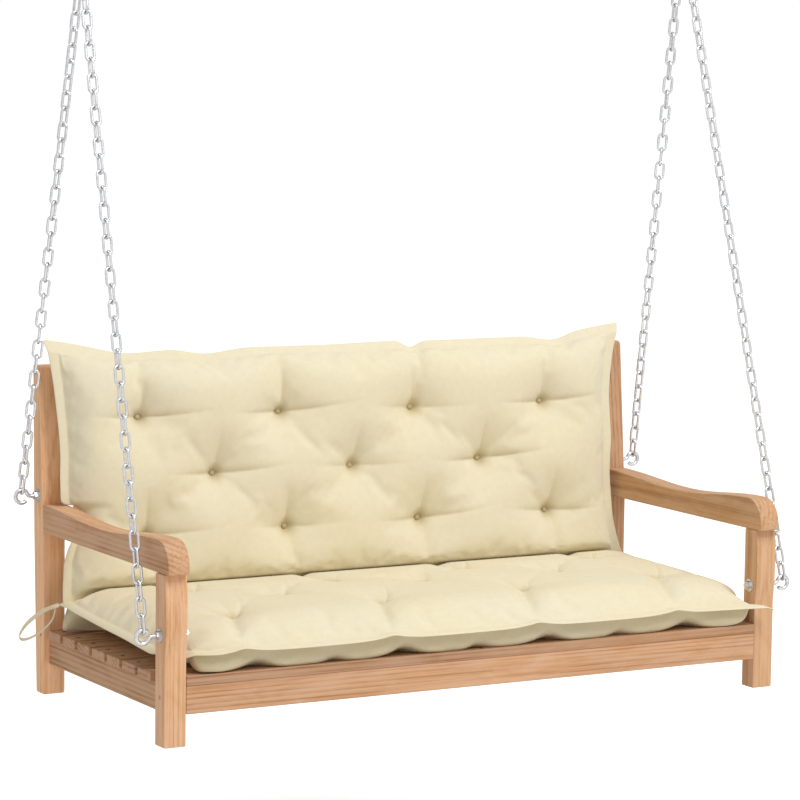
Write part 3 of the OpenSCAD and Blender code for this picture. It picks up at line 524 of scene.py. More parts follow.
class PORCHSWING_OT_hardware(bpy.types.Operator):
    """Plate the chains, hooks, nuts, washers, hangers and screws"""
    bl_idname = "porchswing.hardware"
    bl_label = "Hardware"

    def execute(self, context):
        size = context.scene.swing_hardware
        finishes = [
            (plated("Bright zinc", size.zinc, size.dull, 0.2, 220.0),
             HOOKS + ["hook_nuts", "hook_washers", "pivot_bolts", "pivot_nuts"]),
            (plated("Plated chain", size.chain, size.dull, 0.16, 160.0),
             CHAINS + ["ring_left", "ring_right"]),
            (plated("Hanger steel", size.hanger, size.dull, 0.32, 90.0),
             [f"{piece}_{side}" for piece in ("strap", "hanger_plate") for side in SIDES]),
            (plated("Screw steel", size.screw, size.dull, 0.35, 400.0), ["slat_screws"]),
        ]
        for finish, nodes in finishes:
            for node in nodes:
                coat(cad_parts[node], finish)
        return {"FINISHED"}


# ---- Cushions ----

def swell(edge, reach):
    """How far a cover has risen, 0 to 1, at a distance from its seam."""
    t = np.clip(edge / reach, 0, 1)
    return (1 - (1 - t) ** 2) ** 0.5


def dome(edges, reaches):
    """How far a cover has risen, 0 to 1, inside several seams, each with its own reach."""
    return math.prod(swell(edge, reach) for edge, reach in zip(edges, reaches))


def spacing(length, lip):
    """Places across a cover from 0 to length: the lip, close rows just inside its seam, then even cells."""
    hem = [lip * share for share in LIP_ROWS] + [lip + row for row in SEAM_ROWS]
    count = round((length - 2 * hem[-1]) / CELL)
    middle = np.linspace(hem[-1], length - hem[-1], count + 1)[1:-1]
    return np.array(hem + list(middle) + [length - x for x in reversed(hem)])


class Cover:
    """Two sheets sewn together round a flat lip, in their own frame: u along, v across and w through them."""

    def __init__(self, name, width, height, size):
        self.name = name
        us, vs = spacing(width, size.lip), spacing(height, size.lip)
        columns, rows = len(us), len(vs)
        u, v = np.meshgrid(us, vs)
        count = u.size
        self.u, self.v = np.tile(u.ravel(), 2), np.tile(v.ravel(), 2)
        self.side = np.repeat([1.0, -1.0], count)
        self.edge = np.minimum.reduce([self.u, width - self.u, self.v, height - self.v])
        self.w = self.side * size.lip_thick / 2 * np.where(self.edge < HAIR, LIP_EDGE, 1)
        at = lambda i, j, sheet: sheet * count + j * columns + i
        self.faces = []
        for j in range(rows - 1):
            for i in range(columns - 1):
                quad = [at(i, j, 0), at(i + 1, j, 0), at(i + 1, j + 1, 0), at(i, j + 1, 0)]
                self.faces += [quad, [k + count for k in reversed(quad)]]
        rim = [(i, 0) for i in range(columns)] + [(columns - 1, j) for j in range(1, rows)]
        rim += [(i, rows - 1) for i in range(columns - 2, -1, -1)]
        rim += [(0, j) for j in range(rows - 2, 0, -1)]
        for a, b in zip(rim, rim[1:] + rim[:1]):
            self.faces.append([at(*b, 0), at(*a, 0), at(*a, 1), at(*b, 1)])

    def make(self, x, y, z):
        mesh = bpy.data.meshes.new(self.name)
        mesh.from_pydata(np.stack([x, y, z], 1).tolist(), [], self.faces)
        for key, values in (("along", self.u), ("across", self.v), ("side", self.side), ("edge", self.edge)):
            write(mesh, key, values)
        uv = mesh.uv_layers.new(name="cloth")
        loops = np.zeros(len(mesh.loops), np.int32)
        mesh.loops.foreach_get("vertex_index", loops)
        flat = np.stack([self.u[loops], self.v[loops]], 1)
        uv.data.foreach_set("uv", flat.ravel().astype(np.float32))
        mesh.update()
        return link_new(self.name, mesh)


def settle(piece, held, size, cap):
    """Fills the cover with pressure and lets the cloth settle. No point moves further than cap."""
    start = points_of(piece)
    group = piece.vertex_groups.new(name="held")
    group.add(np.flatnonzero(held).tolist(), 1.0, "REPLACE")
    cloth = piece.modifiers.new("cloth", "CLOTH")
    s = cloth.settings
    s.quality, s.mass, s.air_damping = 5, 0.2, 2
    s.tension_stiffness, s.compression_stiffness, s.shear_stiffness, s.bending_stiffness = 30, 10, 6, 0.9
    s.tension_damping, s.compression_damping, s.shear_damping, s.bending_damping = 8, 8, 5, 0.6
    s.use_pressure, s.uniform_pressure_force = True, size.pressure
    s.vertex_group_mass, s.pin_stiffness = "held", 1
    s.shrink_min = -0.018
    s.effector_weights.gravity = 0
    cloth.collision_settings.use_collision = False
    cloth.point_cache.frame_start, cloth.point_cache.frame_end = 1, size.frames + 2
    for number in range(1, size.frames + 1):
        bpy.context.scene.frame_set(number)
    only(piece)
    bpy.ops.object.modifier_apply(modifier=cloth.name)
    move = points_of(piece) - start
    far = np.linalg.norm(move, axis=1, keepdims=True)
    move *= cap * np.tanh(far / cap) / np.maximum(far, 1e-9)
    write_points(piece, start + move)


def tufted(u, v, tufts, depth, reach):
    """How far the buttons pull the cover in, 0 to 1: sharp at each button, fading into the panels."""
    left = np.ones_like(u)
    for tu, tv in tufts:
        r = np.hypot((u - tu) / TUFT_STRETCH, v - tv)
        left *= 1 - depth * np.exp(-(r / reach) ** 1.05)
    return 1 - left


def creases(u, v, rows, left, width):
    """The creases from the seams to the buttons, 0 to 1: deepest at the seam, gone at the button. A row gives
    the places along the bench where its creases start, the seam's v and the buttons that they run to."""
    total = np.zeros_like(u)
    for starts, v0, tufts in rows:
        for x, (u1, v1) in zip(starts, tufts):
            u0 = x - left
            t = np.clip((v - v0) / (v1 - v0), 0, 1)
            off = np.abs(u - (u0 + (u1 - u0) * t ** 1.6))
            fading = (1 - 0.5 * t) * (1 - smooth_step(t / 0.2 - 4))
            total = np.maximum(total, fading * np.exp(-(off / width) ** 1.3))
    return total


def ridge(off, above, below):
    """1 on a fold's line, fading over one distance on its positive side and over another below it."""
    return np.exp(-np.abs(off) / np.where(off > 0, above, below))


def folds(u, v, tufts, length=1.0, bend=0.5):
    """The folds at each button, 0 to about 2: a level crease that is sharp above and soft below, and a soft
    upright one above. Also how much painted shade the cloth gets in them and round each button, 0 to 1."""
    total, shaded = np.zeros_like(u), np.zeros_like(u)
    for k, (tu, tv) in enumerate(tufts):
        du, dv = u - tu, v - tv
        crisp = 0.5 + 0.5 * math.sin(2.1 * k + 0.6)
        level = dv - 0.04 * math.sin(2.3 * k) * du - bend * du * du
        right, left = (least + more * crisp for least, more in (FOLD_RIGHT, FOLD_LEFT))
        reach = np.where(du > 0, right, left)
        run = np.exp(-(np.abs(du) / (length * reach)) ** (1.6 + crisp))
        soft, sharp = ridge(level, *FOLD_SOFT), ridge(level, *FOLD_SHARP)
        crease = run * (0.55 * soft + (0.15 + 0.35 * crisp) * sharp)
        lean = du - 0.12 * dv * math.cos(1.3 * k)
        above = smooth_step(dv / UPRIGHT_START) * near(dv, UPRIGHT_END)
        upright = UPRIGHT_DEPTH * (above * ridge(lean, *UPRIGHT))
        below = smooth_step(-dv / BELOW_START) * near(-dv, BELOW_END) * np.exp(-np.abs(du) / BELOW_WIDE)
        pit = PIT_DEPTH * np.exp(-np.hypot(du, dv) ** 2 / PIT_WIDE ** 2)
        total = np.maximum(total, np.maximum.reduce([crease, upright, BELOW_DEPTH * below])) + pit
        # Painted shade along the level crease, beside the upright fold and round the button's pit
        dark = run * ridge(level, *FOLD_SHADE) * (0.35 + 0.35 * crisp)
        beside = 0.5 * length * above * ridge(lean, *UPRIGHT_SHADE)
        button_pit_shade = np.exp(-(np.hypot(du, dv) / PIT_SHADE) ** 2)
        shaded = np.maximum.reduce([shaded, dark, beside, button_pit_shade])
    return total, shaded


def fill_cover(piece, cover, tufts, size, cap, **shape):
    """Fills a cover, held at its lip and buttons, and smooths it. Gives its points and, for each, the side
    that it is on, the folds' depth there in metres and how much painted shade the cloth gets there."""
    held = cover.edge <= size.lip + HAIR
    for tu, tv in tufts:
        held |= np.hypot(cover.u - tu, cover.v - tv) < BUTTON_HOLD
    settle(piece, held, size, cap)
    apply_modifier(piece, "SUBSURF", levels=2, render_levels=2)
    u, v, side, edge = (read(piece, key) for key in ("along", "across", "side", "edge"))
    total, shaded = folds(u, v, tufts, **shape)
    depth = size.crease * total * np.clip((edge - size.lip) / FOLDS_IN, 0, 1)
    return points_of(piece), side, depth, shaded


def buttons(name, places, diameter):
    """Covered buttons: domes with a pinched rim, one at each (place, outward direction)."""
    made = []
    for k, (place, outward) in enumerate(places):
        deselect()
        bpy.ops.mesh.primitive_uv_sphere_add(segments=20, ring_count=10, radius=diameter / 2)
        mode("EDIT")
        bpy.ops.mesh.select_all(action="DESELECT")
        mode("OBJECT")
        piece = bpy.context.object
        for vertex in piece.data.vertices:
            vertex.select = vertex.co.z < -diameter * BUTTON_WAIST
        mode("EDIT")
        bpy.ops.transform.resize(value=(BUTTON_PINCH, BUTTON_PINCH, 1), center_override=(0, 0, 0))
        bpy.ops.mesh.select_all(action="SELECT")
        bpy.ops.transform.resize(value=(1, 1, BUTTON_PINCH), center_override=(0, 0, 0))
        mode("OBJECT")
        piece.rotation_mode = "QUATERNION"
        piece.rotation_quaternion = Vector(outward).to_track_quat("Z", "Y")
        piece.location = place
        made.append(as_piece(f"{name}_{k}"))
    only(*made)
    bpy.ops.object.join()
    piece = bpy.context.object
    piece.name = piece.data.name = name
    smooth(piece, 60)
    return piece


def button_places(piece, tufts, facing, diameter):
    """Where the buttons sit: in each tuft, on both sheets of the cover."""
    points = points_of(piece)
    u, v, side = (read(piece, key) for key in ("along", "across", "side"))
    found = []
    for face in (1, -1):
        for tu, tv in tufts:
            round_tuft = np.flatnonzero((side * face > 0.5) & (np.hypot(u - tu, v - tv) < BUTTON_SEAT))
            if len(round_tuft):
                outward = Vector(facing) * face
                found.append((Vector(points[round_tuft].mean(0)) - outward * diameter * BUTTON_SINK, outward))
    return found


def keep_clear(points, place, span):
    """Keeps the points whose place is in this span clear of the posts or arms."""
    beside = (place > span[0]) & (place < span[1])
    limit = INNER_X - SIDE_GAP
    points[beside, 0] = np.clip(points[beside, 0], -limit, limit)


def finish_cushion(piece, node, tufts, facing):
    """Dresses a filled cover in its cloth and sews on its buttons, whose darker cloth is painted shade of
    their pits.
    """
    size = bpy.context.scene.swing_cushions
    smooth(piece, 80)
    cloth = cover_cloth(node.replace("_", " ").capitalize() + " cloth", size.cloth, size.thread)
    hang(piece, cloth, [node])
    knobs = buttons(f"{node}_buttons", button_places(piece, tufts, facing, size.button), size.button)
    # The buttons' cloth is darker as painted shade of their pits
    hang(knobs, cover_cloth("Shaded button cloth", size.shaded_button_cloth, size.shaded_button_cloth))


# The covers' mesh cells, how much of a lip's thickness is left at its very edge, and how much wider than high
# a tuft is
CELL, LIP_EDGE, TUFT_STRETCH = 0.0095, 0.55, 1.3
# Where the rows of points lie across a lip, as shares of it, and close beside it inside its seam
LIP_ROWS, SEAM_ROWS = (0, 0.45, 0.9, 1), (0.0025, 0.006, 0.011, 0.017)
# How far round a button the cloth is held while it settles, over what distance a button then finds its place
# on it, and how far a button is flattened and drawn in below
BUTTON_HOLD, BUTTON_SEAT, BUTTON_PINCH = 0.0075, 0.008, 0.72
# How far below its middle it starts to be drawn in, and how far it sinks into the cloth, in its own diameters
BUTTON_WAIST, BUTTON_SINK = 0.08, 0.1
# A level fold's reach to the right and to the left of its button, each with what a crisp one has more
FOLD_RIGHT, FOLD_LEFT = (0.066, 0.034), (0.052, 0.026)
# Over what distances it fades above and below its line: its soft part, its sharp part and its painted shade
FOLD_SOFT, FOLD_SHARP, FOLD_SHADE = (0.011, 0.018), (0.0055, 0.0042), (0.0045, 0.0018)
# The same to the right and left of the upright fold above a button, and of its painted shade
UPRIGHT, UPRIGHT_SHADE = (0.017, 0.008), (0.014, 0.003)
# Over what distance that fold sets in, where it ends and how deep it is. The same and its width for the small
# one below a button
UPRIGHT_START, UPRIGHT_END, UPRIGHT_DEPTH = 0.012, 0.085, 0.85
BELOW_START, BELOW_END, BELOW_DEPTH, BELOW_WIDE = 0.010, 0.05, 0.3, 0.008
# How wide and deep the pit round a button is, how wide its painted shade is, and how far in from the lip the
# folds get their full depth
PIT_WIDE, PIT_DEPTH, PIT_SHADE, FOLDS_IN = 0.0105, 1.35, 0.0145, 0.04
# How deep the buttons draw a cover in and over what distance, how wide the creases to them are and how deep,
# and how far the cloth may move while it settles
BACK_PULL, BACK_CREASE, BACK_CREASE_DEPTH, BACK_SETTLE = (0.78, 0.050), 0.016, 0.30, 0.012
SEAT_PULL, SEAT_CREASE, SEAT_CREASE_DEPTH, SEAT_SETTLE = (0.17, 0.034), 0.020, 0.55, 0.010
# How far the back cushion swells to the front and to the rear, and over how far from its left, right, lower
# and upper seams. Its lower lip is narrower than the others
BACK_FRONT_SWELL, BACK_FRONT_REACH = 0.046, (0.13, 0.13, 0.030, 0.10)
BACK_REAR_SWELL, BACK_REAR_REACH = 0.031, (0.09, 0.09, 0.07, 0.07)
BACK_FOOT_LIP = 0.010
# How steeply its upper lip leans back over the rail, and how far in from its edges it follows their wandering
BACK_LIP_LEAN, BACK_SIDE_REACH, BACK_LINE_REACH = 0.55, 0.16, 0.12
# Over how far the seat cushion's upper sheet swells from its left, right and front seams, and its under sheet
# from its front and rear ones
SEAT_UPPER_REACH, SEAT_UNDER_REACH = (0.13, 0.13, 0.085), (0.018, 0.02)
# How far back the tufts in the upper sheet start to fade and over what distance, and how much of them goes
TUFTS_FADE, TUFTS_GONE = (0.365, 0.035), 0.8
# Over how far the under sheet swells from its ends: at the front, how much further behind the front posts, and
# how much less again at the rear. Where the two changes start, and over what distance
END_REACH, END_MORE, END_LESS = 0.02, 0.22, 0.228
END_MORE_AT, END_LESS_AT = (0.045, 0.03), (0.428, 0.028)
# How much of the tufts and folds shows on the back cushion's rear, of the folds and their painted shade on the
# seat cushion's upper sheet, and of the tufts and folds on its under one, which has painted shade all over
REAR_SHARE, UPPER_FOLDS, UNDER_TUFTS, UNDER_FOLDS, UNDER_PAINTED_SHADE = 0.6, 0.7, 0.4, 0.3, 0.5
# How the front of the under sheet is drawn up to the right of each crease: how much, how far along, how wide
DRAWN_UP, DRAWN_REACH = ((0.42, 0.036, 0.026), (0.2, 0.178, 0.020)), 0.09
# How far the lip is lifted at its front, how much more where a crease meets it, and over what distance
LIP_LIFT, CREASE_LIFT, CREASE_LIFT_REACH = 0.001, 0.008, 0.030
# How steeply the lip droops, how far in from its front and ends that tells, and how far along the tucks tell
LIP_DROOP, SEAT_FRONT_REACH, SEAT_END_REACH, SEAT_TUCK_REACH = 0.33, 0.10, 0.09, 0.12
# How far the right front corner laps forward. How far the left one is tucked back, and over what length. How
# far the tie draws the rear left one forward, and over what length and depth
RIGHT_LAP, LEFT_TUCK, TIE_PULL = 0.012, (0.030, 0.07), (0.036, 0.09, 0.10)
# How far the under sheet bulges forward, and to the left at its rear, how far in from its edge it does so in
# full, and over what further length at the left
UNDER_BULGE, LEFT_BULGE, BULGE_FULL, LEFT_BULGE_REACH = 0.015, 0.024, 0.03, 0.06

# The back cushion's buttons in its own frame, from its left end and its lower edge
BACK_TUFTS = [(x - BACK_LEFT, (z - BACK_FOOT_Z) / math.cos(BACK_LEAN) - 0.003) for x, z in (
    (-0.432, 0.482), (-0.156, 0.480), (0.114, 0.475), (0.391, 0.474),
    (-0.290, 0.377), (-0.014, 0.376), (0.254, 0.375),
    (-0.425, 0.278), (-0.151, 0.276), (0.123, 0.275), (0.395, 0.273))]
SEAT_TUFTS = [(x + SEAT_HALF, y - SEAT_FRONT) for x, y in (
    (-0.417, 0.123), (-0.130, 0.130), (0.158, 0.136), (0.442, 0.150),
    (-0.263, 0.254), (0.028, 0.275), (0.302, 0.268),
    (-0.390, 0.345), (-0.115, 0.342), (0.161, 0.357), (0.435, 0.360))]
# Where the creases of the outer rows start on the seams, by place along the bench
SEAT_FRONT_PINCHES = (-0.462, -0.183, 0.101, 0.385)
SEAT_REAR_PINCHES = (-0.423, -0.148, 0.127, 0.413)
BACK_FOOT_PINCHES = (-0.415, -0.140, 0.130, 0.405)
BACK_TOP_PINCHES = (-0.435, -0.160, 0.127, 0.400)

# How the edges of the covers wander, metres: the back cushion's upper edge by its place along the bench ...
BACK_TOP = [(-0.602, 0.017), (-0.541, 0.005), (-0.435, -0.016), (-0.360, -0.013), (-0.290, -0.022),
            (-0.202, -0.014), (-0.060, -0.015), (0.095, -0.013), (0.127, -0.026), (0.155, -0.015),
            (0.300, -0.015), (0.364, -0.015), (0.429, -0.023), (0.477, -0.008), (0.578, 0.009)]
# ... its left and right edges by height above the bench's feet ...
BACK_LEFT_EDGE = [(0.16, 0.006), (0.202, 0.007), (0.222, 0.009), (0.242, 0.011), (0.255, 0.016),
                  (0.272, 0.025), (0.283, 0.033), (0.330, 0.033), (0.337, 0.009), (0.381, 0.009),
                  (0.42, 0.011), (0.517, 0.005), (0.58, -0.004), (0.61, -0.012)]
BACK_RIGHT_EDGE = [(0.18, 0.022), (0.192, 0.015), (0.261, -0.002), (0.331, -0.005), (0.40, 0.000),
                   (0.47, -0.002), (0.54, 0.006), (0.58, 0.016), (0.61, 0.028)]
# ... and its lower edge, which sags on to the seat cushion's ends
BACK_FOOT = [(-0.59, -0.017), (-0.565, -0.015), (-0.53, -0.008), (0.49, -0.007), (0.525, -0.008),
             (0.55, -0.010)]
# How far the seat cushion's ends are lifted from its seam's line, by place from front to rear
SEAT_SIDE_RISE = [(-0.018, -0.007), (0.052, -0.007), (0.193, -0.001), (0.274, 0.000), (0.357, 0.0012),
                  (0.435, 0.0015), (0.449, 0.000), (0.486, -0.0025)]
# How its crown falls away from front to rear, most under the back cushion, and what it may not rise above
SEAT_CROWN_LINE = [(-0.02, -0.004), (0.30, -0.004), (0.37, -0.004), (0.405, -0.0035), (0.420, -0.006),
                   (0.436, -0.020), (0.456, -0.025), (0.468, -0.028), (0.49, -0.030)]
SEAT_CEILING = [(-0.10, 0.210), (0.36, 0.198), (0.405, 0.1945), (0.423, 0.190), (0.437, 0.1735),
                (0.49, 0.1735)]
# How far its ends are drawn in at the front posts, from front to rear
SEAT_LEFT_IN = [(-0.02, 0.034), (0.036, 0.034), (0.075, 0.0), (0.49, 0.0)]
SEAT_RIGHT_IN = [(-0.02, 0.001), (-0.006, 0.010), (0.002, 0.034), (0.037, 0.034), (0.075, 0.0), (0.49, 0.0)]


class PORCHSWING_OT_back_cushion(bpy.types.Operator):
    """Sew, tuft and fill the back cushion"""
    bl_idname = "porchswing.back_cushion"
    bl_label = "Back Cushion"

    def execute(self, context):
        size = context.scene.swing_cushions
        width, height = BACK_RIGHT - BACK_LEFT, BACK_HEIGHT
        cover = Cover("back_cushion_cover", width, height, size)
        u, v = cover.u, cover.v
        x, z = BACK_LEFT + u, BACK_FOOT_Z + v
        cos, sin = math.cos(BACK_LEAN), math.sin(BACK_LEAN)
        inner = [np.clip(e, 0, None) for e in (
            u - size.lip, width - size.lip - u, v - BACK_FOOT_LIP, height - size.lip - v)]
        pull = tufted(u, v, BACK_TUFTS, *BACK_PULL)
        rows = [(BACK_FOOT_PINCHES, 0, BACK_TUFTS[7:]), (BACK_TOP_PINCHES, height, BACK_TUFTS)]
        pinch = creases(u, v, rows, BACK_LEFT, BACK_CREASE)
        front = (dome(inner, BACK_FRONT_REACH) * BACK_FRONT_SWELL
                 * (1 - pull) * (1 - BACK_CREASE_DEPTH * pinch))
        rear = dome(inner, BACK_REAR_REACH) * BACK_REAR_SWELL * (1 - REAR_SHARE * pull)
        w = cover.w + np.where(cover.side > 0, front, -rear)
        w -= BACK_LIP_LEAN * np.clip(v - height + size.lip, 0, size.lip)
        du = along(BACK_LEFT_EDGE, z) * near(u, BACK_SIDE_REACH) ** 2
        du += along(BACK_RIGHT_EDGE, z) * near(width - u, BACK_SIDE_REACH) ** 2
        dv = along(BACK_TOP, x) * near(height - v, BACK_LINE_REACH) ** 2
        dv += along(BACK_FOOT, x) * near(v, BACK_LINE_REACH)
        up, out = BACK_FOOT_Z - LEAN_Z + (v + dv), BACK_SEAM + w
        piece = cover.make(BENCH.x + BACK_LEFT + (u + du), BENCH.y + BACK_FOOT_Y - out * cos + up * sin,
                           BENCH.z + LEAN_Z + out * sin + up * cos)

        points, side, depth, shaded = fill_cover(piece, cover, BACK_TUFTS, size, BACK_SETTLE)
        # Painted shade in the folds and round the buttons, which the cloth is darkened by
        write(piece.data, "shaded", shaded)
        points += np.outer(np.where(side > 0, depth, -REAR_SHARE * depth), np.array([0, cos, -sin]))
        # It leans on the posts and the upper rail, and its ends stay between the arms
        local = points - np.array(BENCH)
        plane = BACK_FOOT_Y + (local[:, 2] - LEAN_Z) * math.tan(BACK_LEAN)
        points[:, 1] = np.minimum(points[:, 1], BENCH.y + plane + BACK_PRESS)
        keep_clear(points, local[:, 2], BESIDE_ARMS)
        write_points(piece, points)
        finish_cushion(piece, "back_cushion", BACK_TUFTS, (0, -cos, sin))
        return {"FINISHED"}


class PORCHSWING_OT_seat_cushion(bpy.types.Operator):
    """Sew, tuft and fill the seat cushion"""
    bl_idname = "porchswing.seat_cushion"
    bl_label = "Seat Cushion"

    def execute(self, context):
        size = context.scene.swing_cushions
        width, height, lip = 2 * SEAT_HALF, SEAT_REAR - SEAT_FRONT, size.lip
        cover = Cover("seat_cushion_cover", width, height, size)
        u, v, side = cover.u, cover.v, cover.side
        x, y = u - SEAT_HALF, v + SEAT_FRONT
        inner = [np.clip(e - lip, 0, None) for e in (u, width - u, v, height - v)]
        seam = SEAT_UNDER + SEAT_SEAM + SEAT_SEAM_LIFT * (v / height) ** 2
        # The upper sheet
        crown = SEAT_CROWN + along(SEAT_CROWN_LINE, y) - seam
        pull = tufted(u, v, SEAT_TUFTS, *SEAT_PULL) * (1 - TUFTS_GONE * step_at(y, *TUFTS_FADE))
        rows = [(SEAT_FRONT_PINCHES, 0, SEAT_TUFTS), (SEAT_REAR_PINCHES, height, SEAT_TUFTS[7:])]
        pinch = creases(u, v, rows, -SEAT_HALF, SEAT_CREASE)
        rise = dome(inner, SEAT_UPPER_REACH) * (inner[3] > 0)
        upper = rise * crown * (1 - pull) * (1 - SEAT_CREASE_DEPTH * pinch)
        # The under sheet, which lies on the slats, drawn up at the pinches and a little between them
        at_rear = step_at(v, *END_LESS_AT)
        ends = END_REACH + END_MORE * step_at(v, *END_MORE_AT) - END_LESS * at_rear
        rise = dome(inner, (ends, ends, *SEAT_UNDER_REACH))
        drawn = near(inner[2], DRAWN_REACH) * sum(
            sum(much * np.exp(-((x - p - off) / wide) ** 2) for much, off, wide in DRAWN_UP)
            for p in SEAT_FRONT_PINCHES)
        under = rise * (seam - SEAT_UNDER - size.lip_thick / 2) * (1 - UNDER_TUFTS * pull) * (1 - drawn)
        w = cover.w + np.where(side > 0, upper, -under)
        # The lip droops outwards, and is lifted where a crease meets it
        lifted = LIP_LIFT + sum(CREASE_LIFT * np.exp(-(np.abs(x - p) / CREASE_LIFT_REACH) ** 1.2)
                                for p in SEAT_FRONT_PINCHES)
        w += (lifted + LIP_DROOP * np.clip(v, 0, lip)) * near(v, SEAT_FRONT_REACH) ** 2
        end = np.minimum(u, width - u)
        w += (along(SEAT_SIDE_RISE, y) + LIP_DROOP * np.clip(end, 0, lip)) * near(end, SEAT_END_REACH) ** 2
        # The left front corner is tucked in behind its post, the right one laps in front of its own, and the
        # tie draws the rear left one forward
        at_left, at_right = near(u, SEAT_TUCK_REACH), near(width - u, SEAT_TUCK_REACH)
        at_front = near(v, SEAT_FRONT_REACH)
        du = along(SEAT_LEFT_IN, y) * at_left - along(SEAT_RIGHT_IN, y) * at_right
        du -= LEFT_BULGE * (side < 0) * rise * near(u - BULGE_FULL, LEFT_BULGE_REACH) * at_rear
        dv = -RIGHT_LAP * at_right * at_front
        dv -= UNDER_BULGE * (side < 0) * rise * (1 - drawn) * near(v - BULGE_FULL, SEAT_FRONT_REACH)
        dv += LEFT_TUCK[0] * near(u, LEFT_TUCK[1]) ** 1.5 * at_front
        dv -= TIE_PULL[0] * near(u, TIE_PULL[1]) ** 1.5 * near(height - v, TIE_PULL[2])
        piece = cover.make(BENCH.x - SEAT_HALF + u + du, BENCH.y + SEAT_FRONT + v + dv, BENCH.z + seam + w)

        points, side, depth, shaded = fill_cover(
            piece, cover, SEAT_TUFTS, size, SEAT_SETTLE, length=0.45, bend=30.0)
        # Painted shade: in the upper sheet's folds, and all over the under sheet
        write(piece.data, "shaded", np.where(side > 0, UPPER_FOLDS * shaded, UNDER_PAINTED_SHADE))
        points[:, 2] -= np.where(side > 0, UPPER_FOLDS * depth, -UNDER_FOLDS * depth)
        # It lies on the slats, under the back cushion at its rear, and between the front posts
        local = points - np.array(BENCH)
        ceiling = BENCH.z + along(SEAT_CEILING, local[:, 1])
        points[:, 2] = np.clip(points[:, 2], BENCH.z + SEAT_UNDER - SEAT_PRESS, ceiling)
        keep_clear(points, local[:, 1], BESIDE_POSTS)
        write_points(piece, points)
        finish_cushion(piece, "seat_cushion", SEAT_TUFTS, (0, 0, 1))
        return {"FINISHED"}


# ---- Tie ----

def smooth_line(points):
    """A smooth line through the points."""
    points = np.array(points, float)
    ends = np.vstack([2 * points[0] - points[1], points, 2 * points[-1] - points[-2]])
    line = []
    for i in range(1, len(ends) - 2):
        a, b, c, d = ends[i - 1:i + 3]
        for t in np.linspace(0, 1, TIE_STEPS, endpoint=False):
            line.append(0.5 * (2 * b + (c - a) * t + (2 * a - 5 * b + 4 * c - d) * t ** 2
                               + (3 * b - a - 3 * c + d) * t ** 3))
    line.append(points[-1])
    return np.array(line)


class PORCHSWING_OT_tie(bpy.types.Operator):
    """Hang the tape loop at the seat cushion's rear left corner"""
    bl_idname = "porchswing.tie"
    bl_label = "Tie"

    def execute(self, context):
        size = context.scene.swing_cushions
        line = smooth_line(TIE_ROUTE) * MM + np.array(BENCH)
        ahead = np.gradient(line, axis=0)
        ahead /= np.linalg.norm(ahead, axis=1, keepdims=True)
        # The tape stands on edge where it leaves the seam and has turned flat when it comes back
        turn = smooth_step(np.linspace(-0.25, 1.25, len(line)))[:, None]
        wide = (1 - turn) * np.array(TAPE_OUT) + turn * np.array(TAPE_BACK)
        wide -= (wide * ahead).sum(1, keepdims=True) * ahead
        wide /= np.linalg.norm(wide, axis=1, keepdims=True)
        flat = np.cross(ahead, wide)
        half, thin = size.tape / 2, TAPE_THICK / 2
        upper = [(-1, 0.35), (-0.82, 1), (-0.3, 0.8), (0.3, 0.8), (0.82, 1), (1, 0.35)]
        section = upper + [(-a, -b) for a, b in upper]
        rings = [line + half * a * wide + thin * b * flat for a, b in section]
        points = np.stack(rings, 1).reshape(-1, 3)
        n = len(section)
        faces = [[k * n + i, k * n + (i + 1) % n, (k + 1) * n + (i + 1) % n, (k + 1) * n + i]
                 for k in range(len(line) - 1) for i in range(n)]
        faces += [list(range(n))[::-1], list(range(len(points) - n, len(points)))]
        mesh = bpy.data.meshes.new("tie_tape")
        mesh.from_pydata(points.tolist(), [], faces)
        uv = mesh.uv_layers.new(name="cloth")
        gone = np.concatenate([[0], np.cumsum(np.linalg.norm(np.diff(line, axis=0), axis=1))])
        for loop in mesh.loops:
            ring, place = divmod(loop.vertex_index, n)
            uv.data[loop.index].uv = (gone[ring], section[place][0] * half)
        piece = link_new("tie_tape", mesh)
        only(piece)
        mode("EDIT")
        bpy.ops.mesh.select_all(action="SELECT")
        bpy.ops.mesh.normals_make_consistent(inside=False)
        mode("OBJECT")
        smooth(piece, 50)
        hang(piece, cover_cloth("Tie tape", size.cloth, size.thread), ["cushion_tie"])
        return {"FINISHED"}


# ---- Stage ----

# The camera in the bench's frame, metres, and how it is turned, degrees
CAMERA_AT = Vector((-2.95132, -4.95517, 1.2012))
CAMERA_YAW, CAMERA_PITCH, CAMERA_ROLL = 29.31, 6.53, 0.75
SENSOR_WIDTH = 36
# The place in the bench's frame that the key lamp faces, where it stands from there, how far off and how wide
KEY_TARGET, KEY_FROM, KEY_AWAY, KEY_WIDTH = Vector((0, 0.2, 0.3)), Vector((0.20, -0.54, 0.83)), 5.5, 2.6
# The floor's width, and how far from its middle its glow starts and ends its change
FLOOR_WIDTH, GLOW_FROM, GLOW_TO = 60, 0.5, 2.6
# The studio's own faint tint, and how much of the plain background a mirrored ray sees in its place
STUDIO_TINT, MIRRORED = (0.99, 0.995, 1.0), 0.5


def seen_directly(g, mirrored=0.0):
    """1 for camera rays, and this share of it for mirrored ones."""
    path = g.add("LightPath").outputs
    inputs = {0: path["Is Glossy Ray"], 1: mirrored, 2: path["Is Camera Ray"]}
    return g.add("Math", inputs, operation="MULTIPLY_ADD").outputs[0]


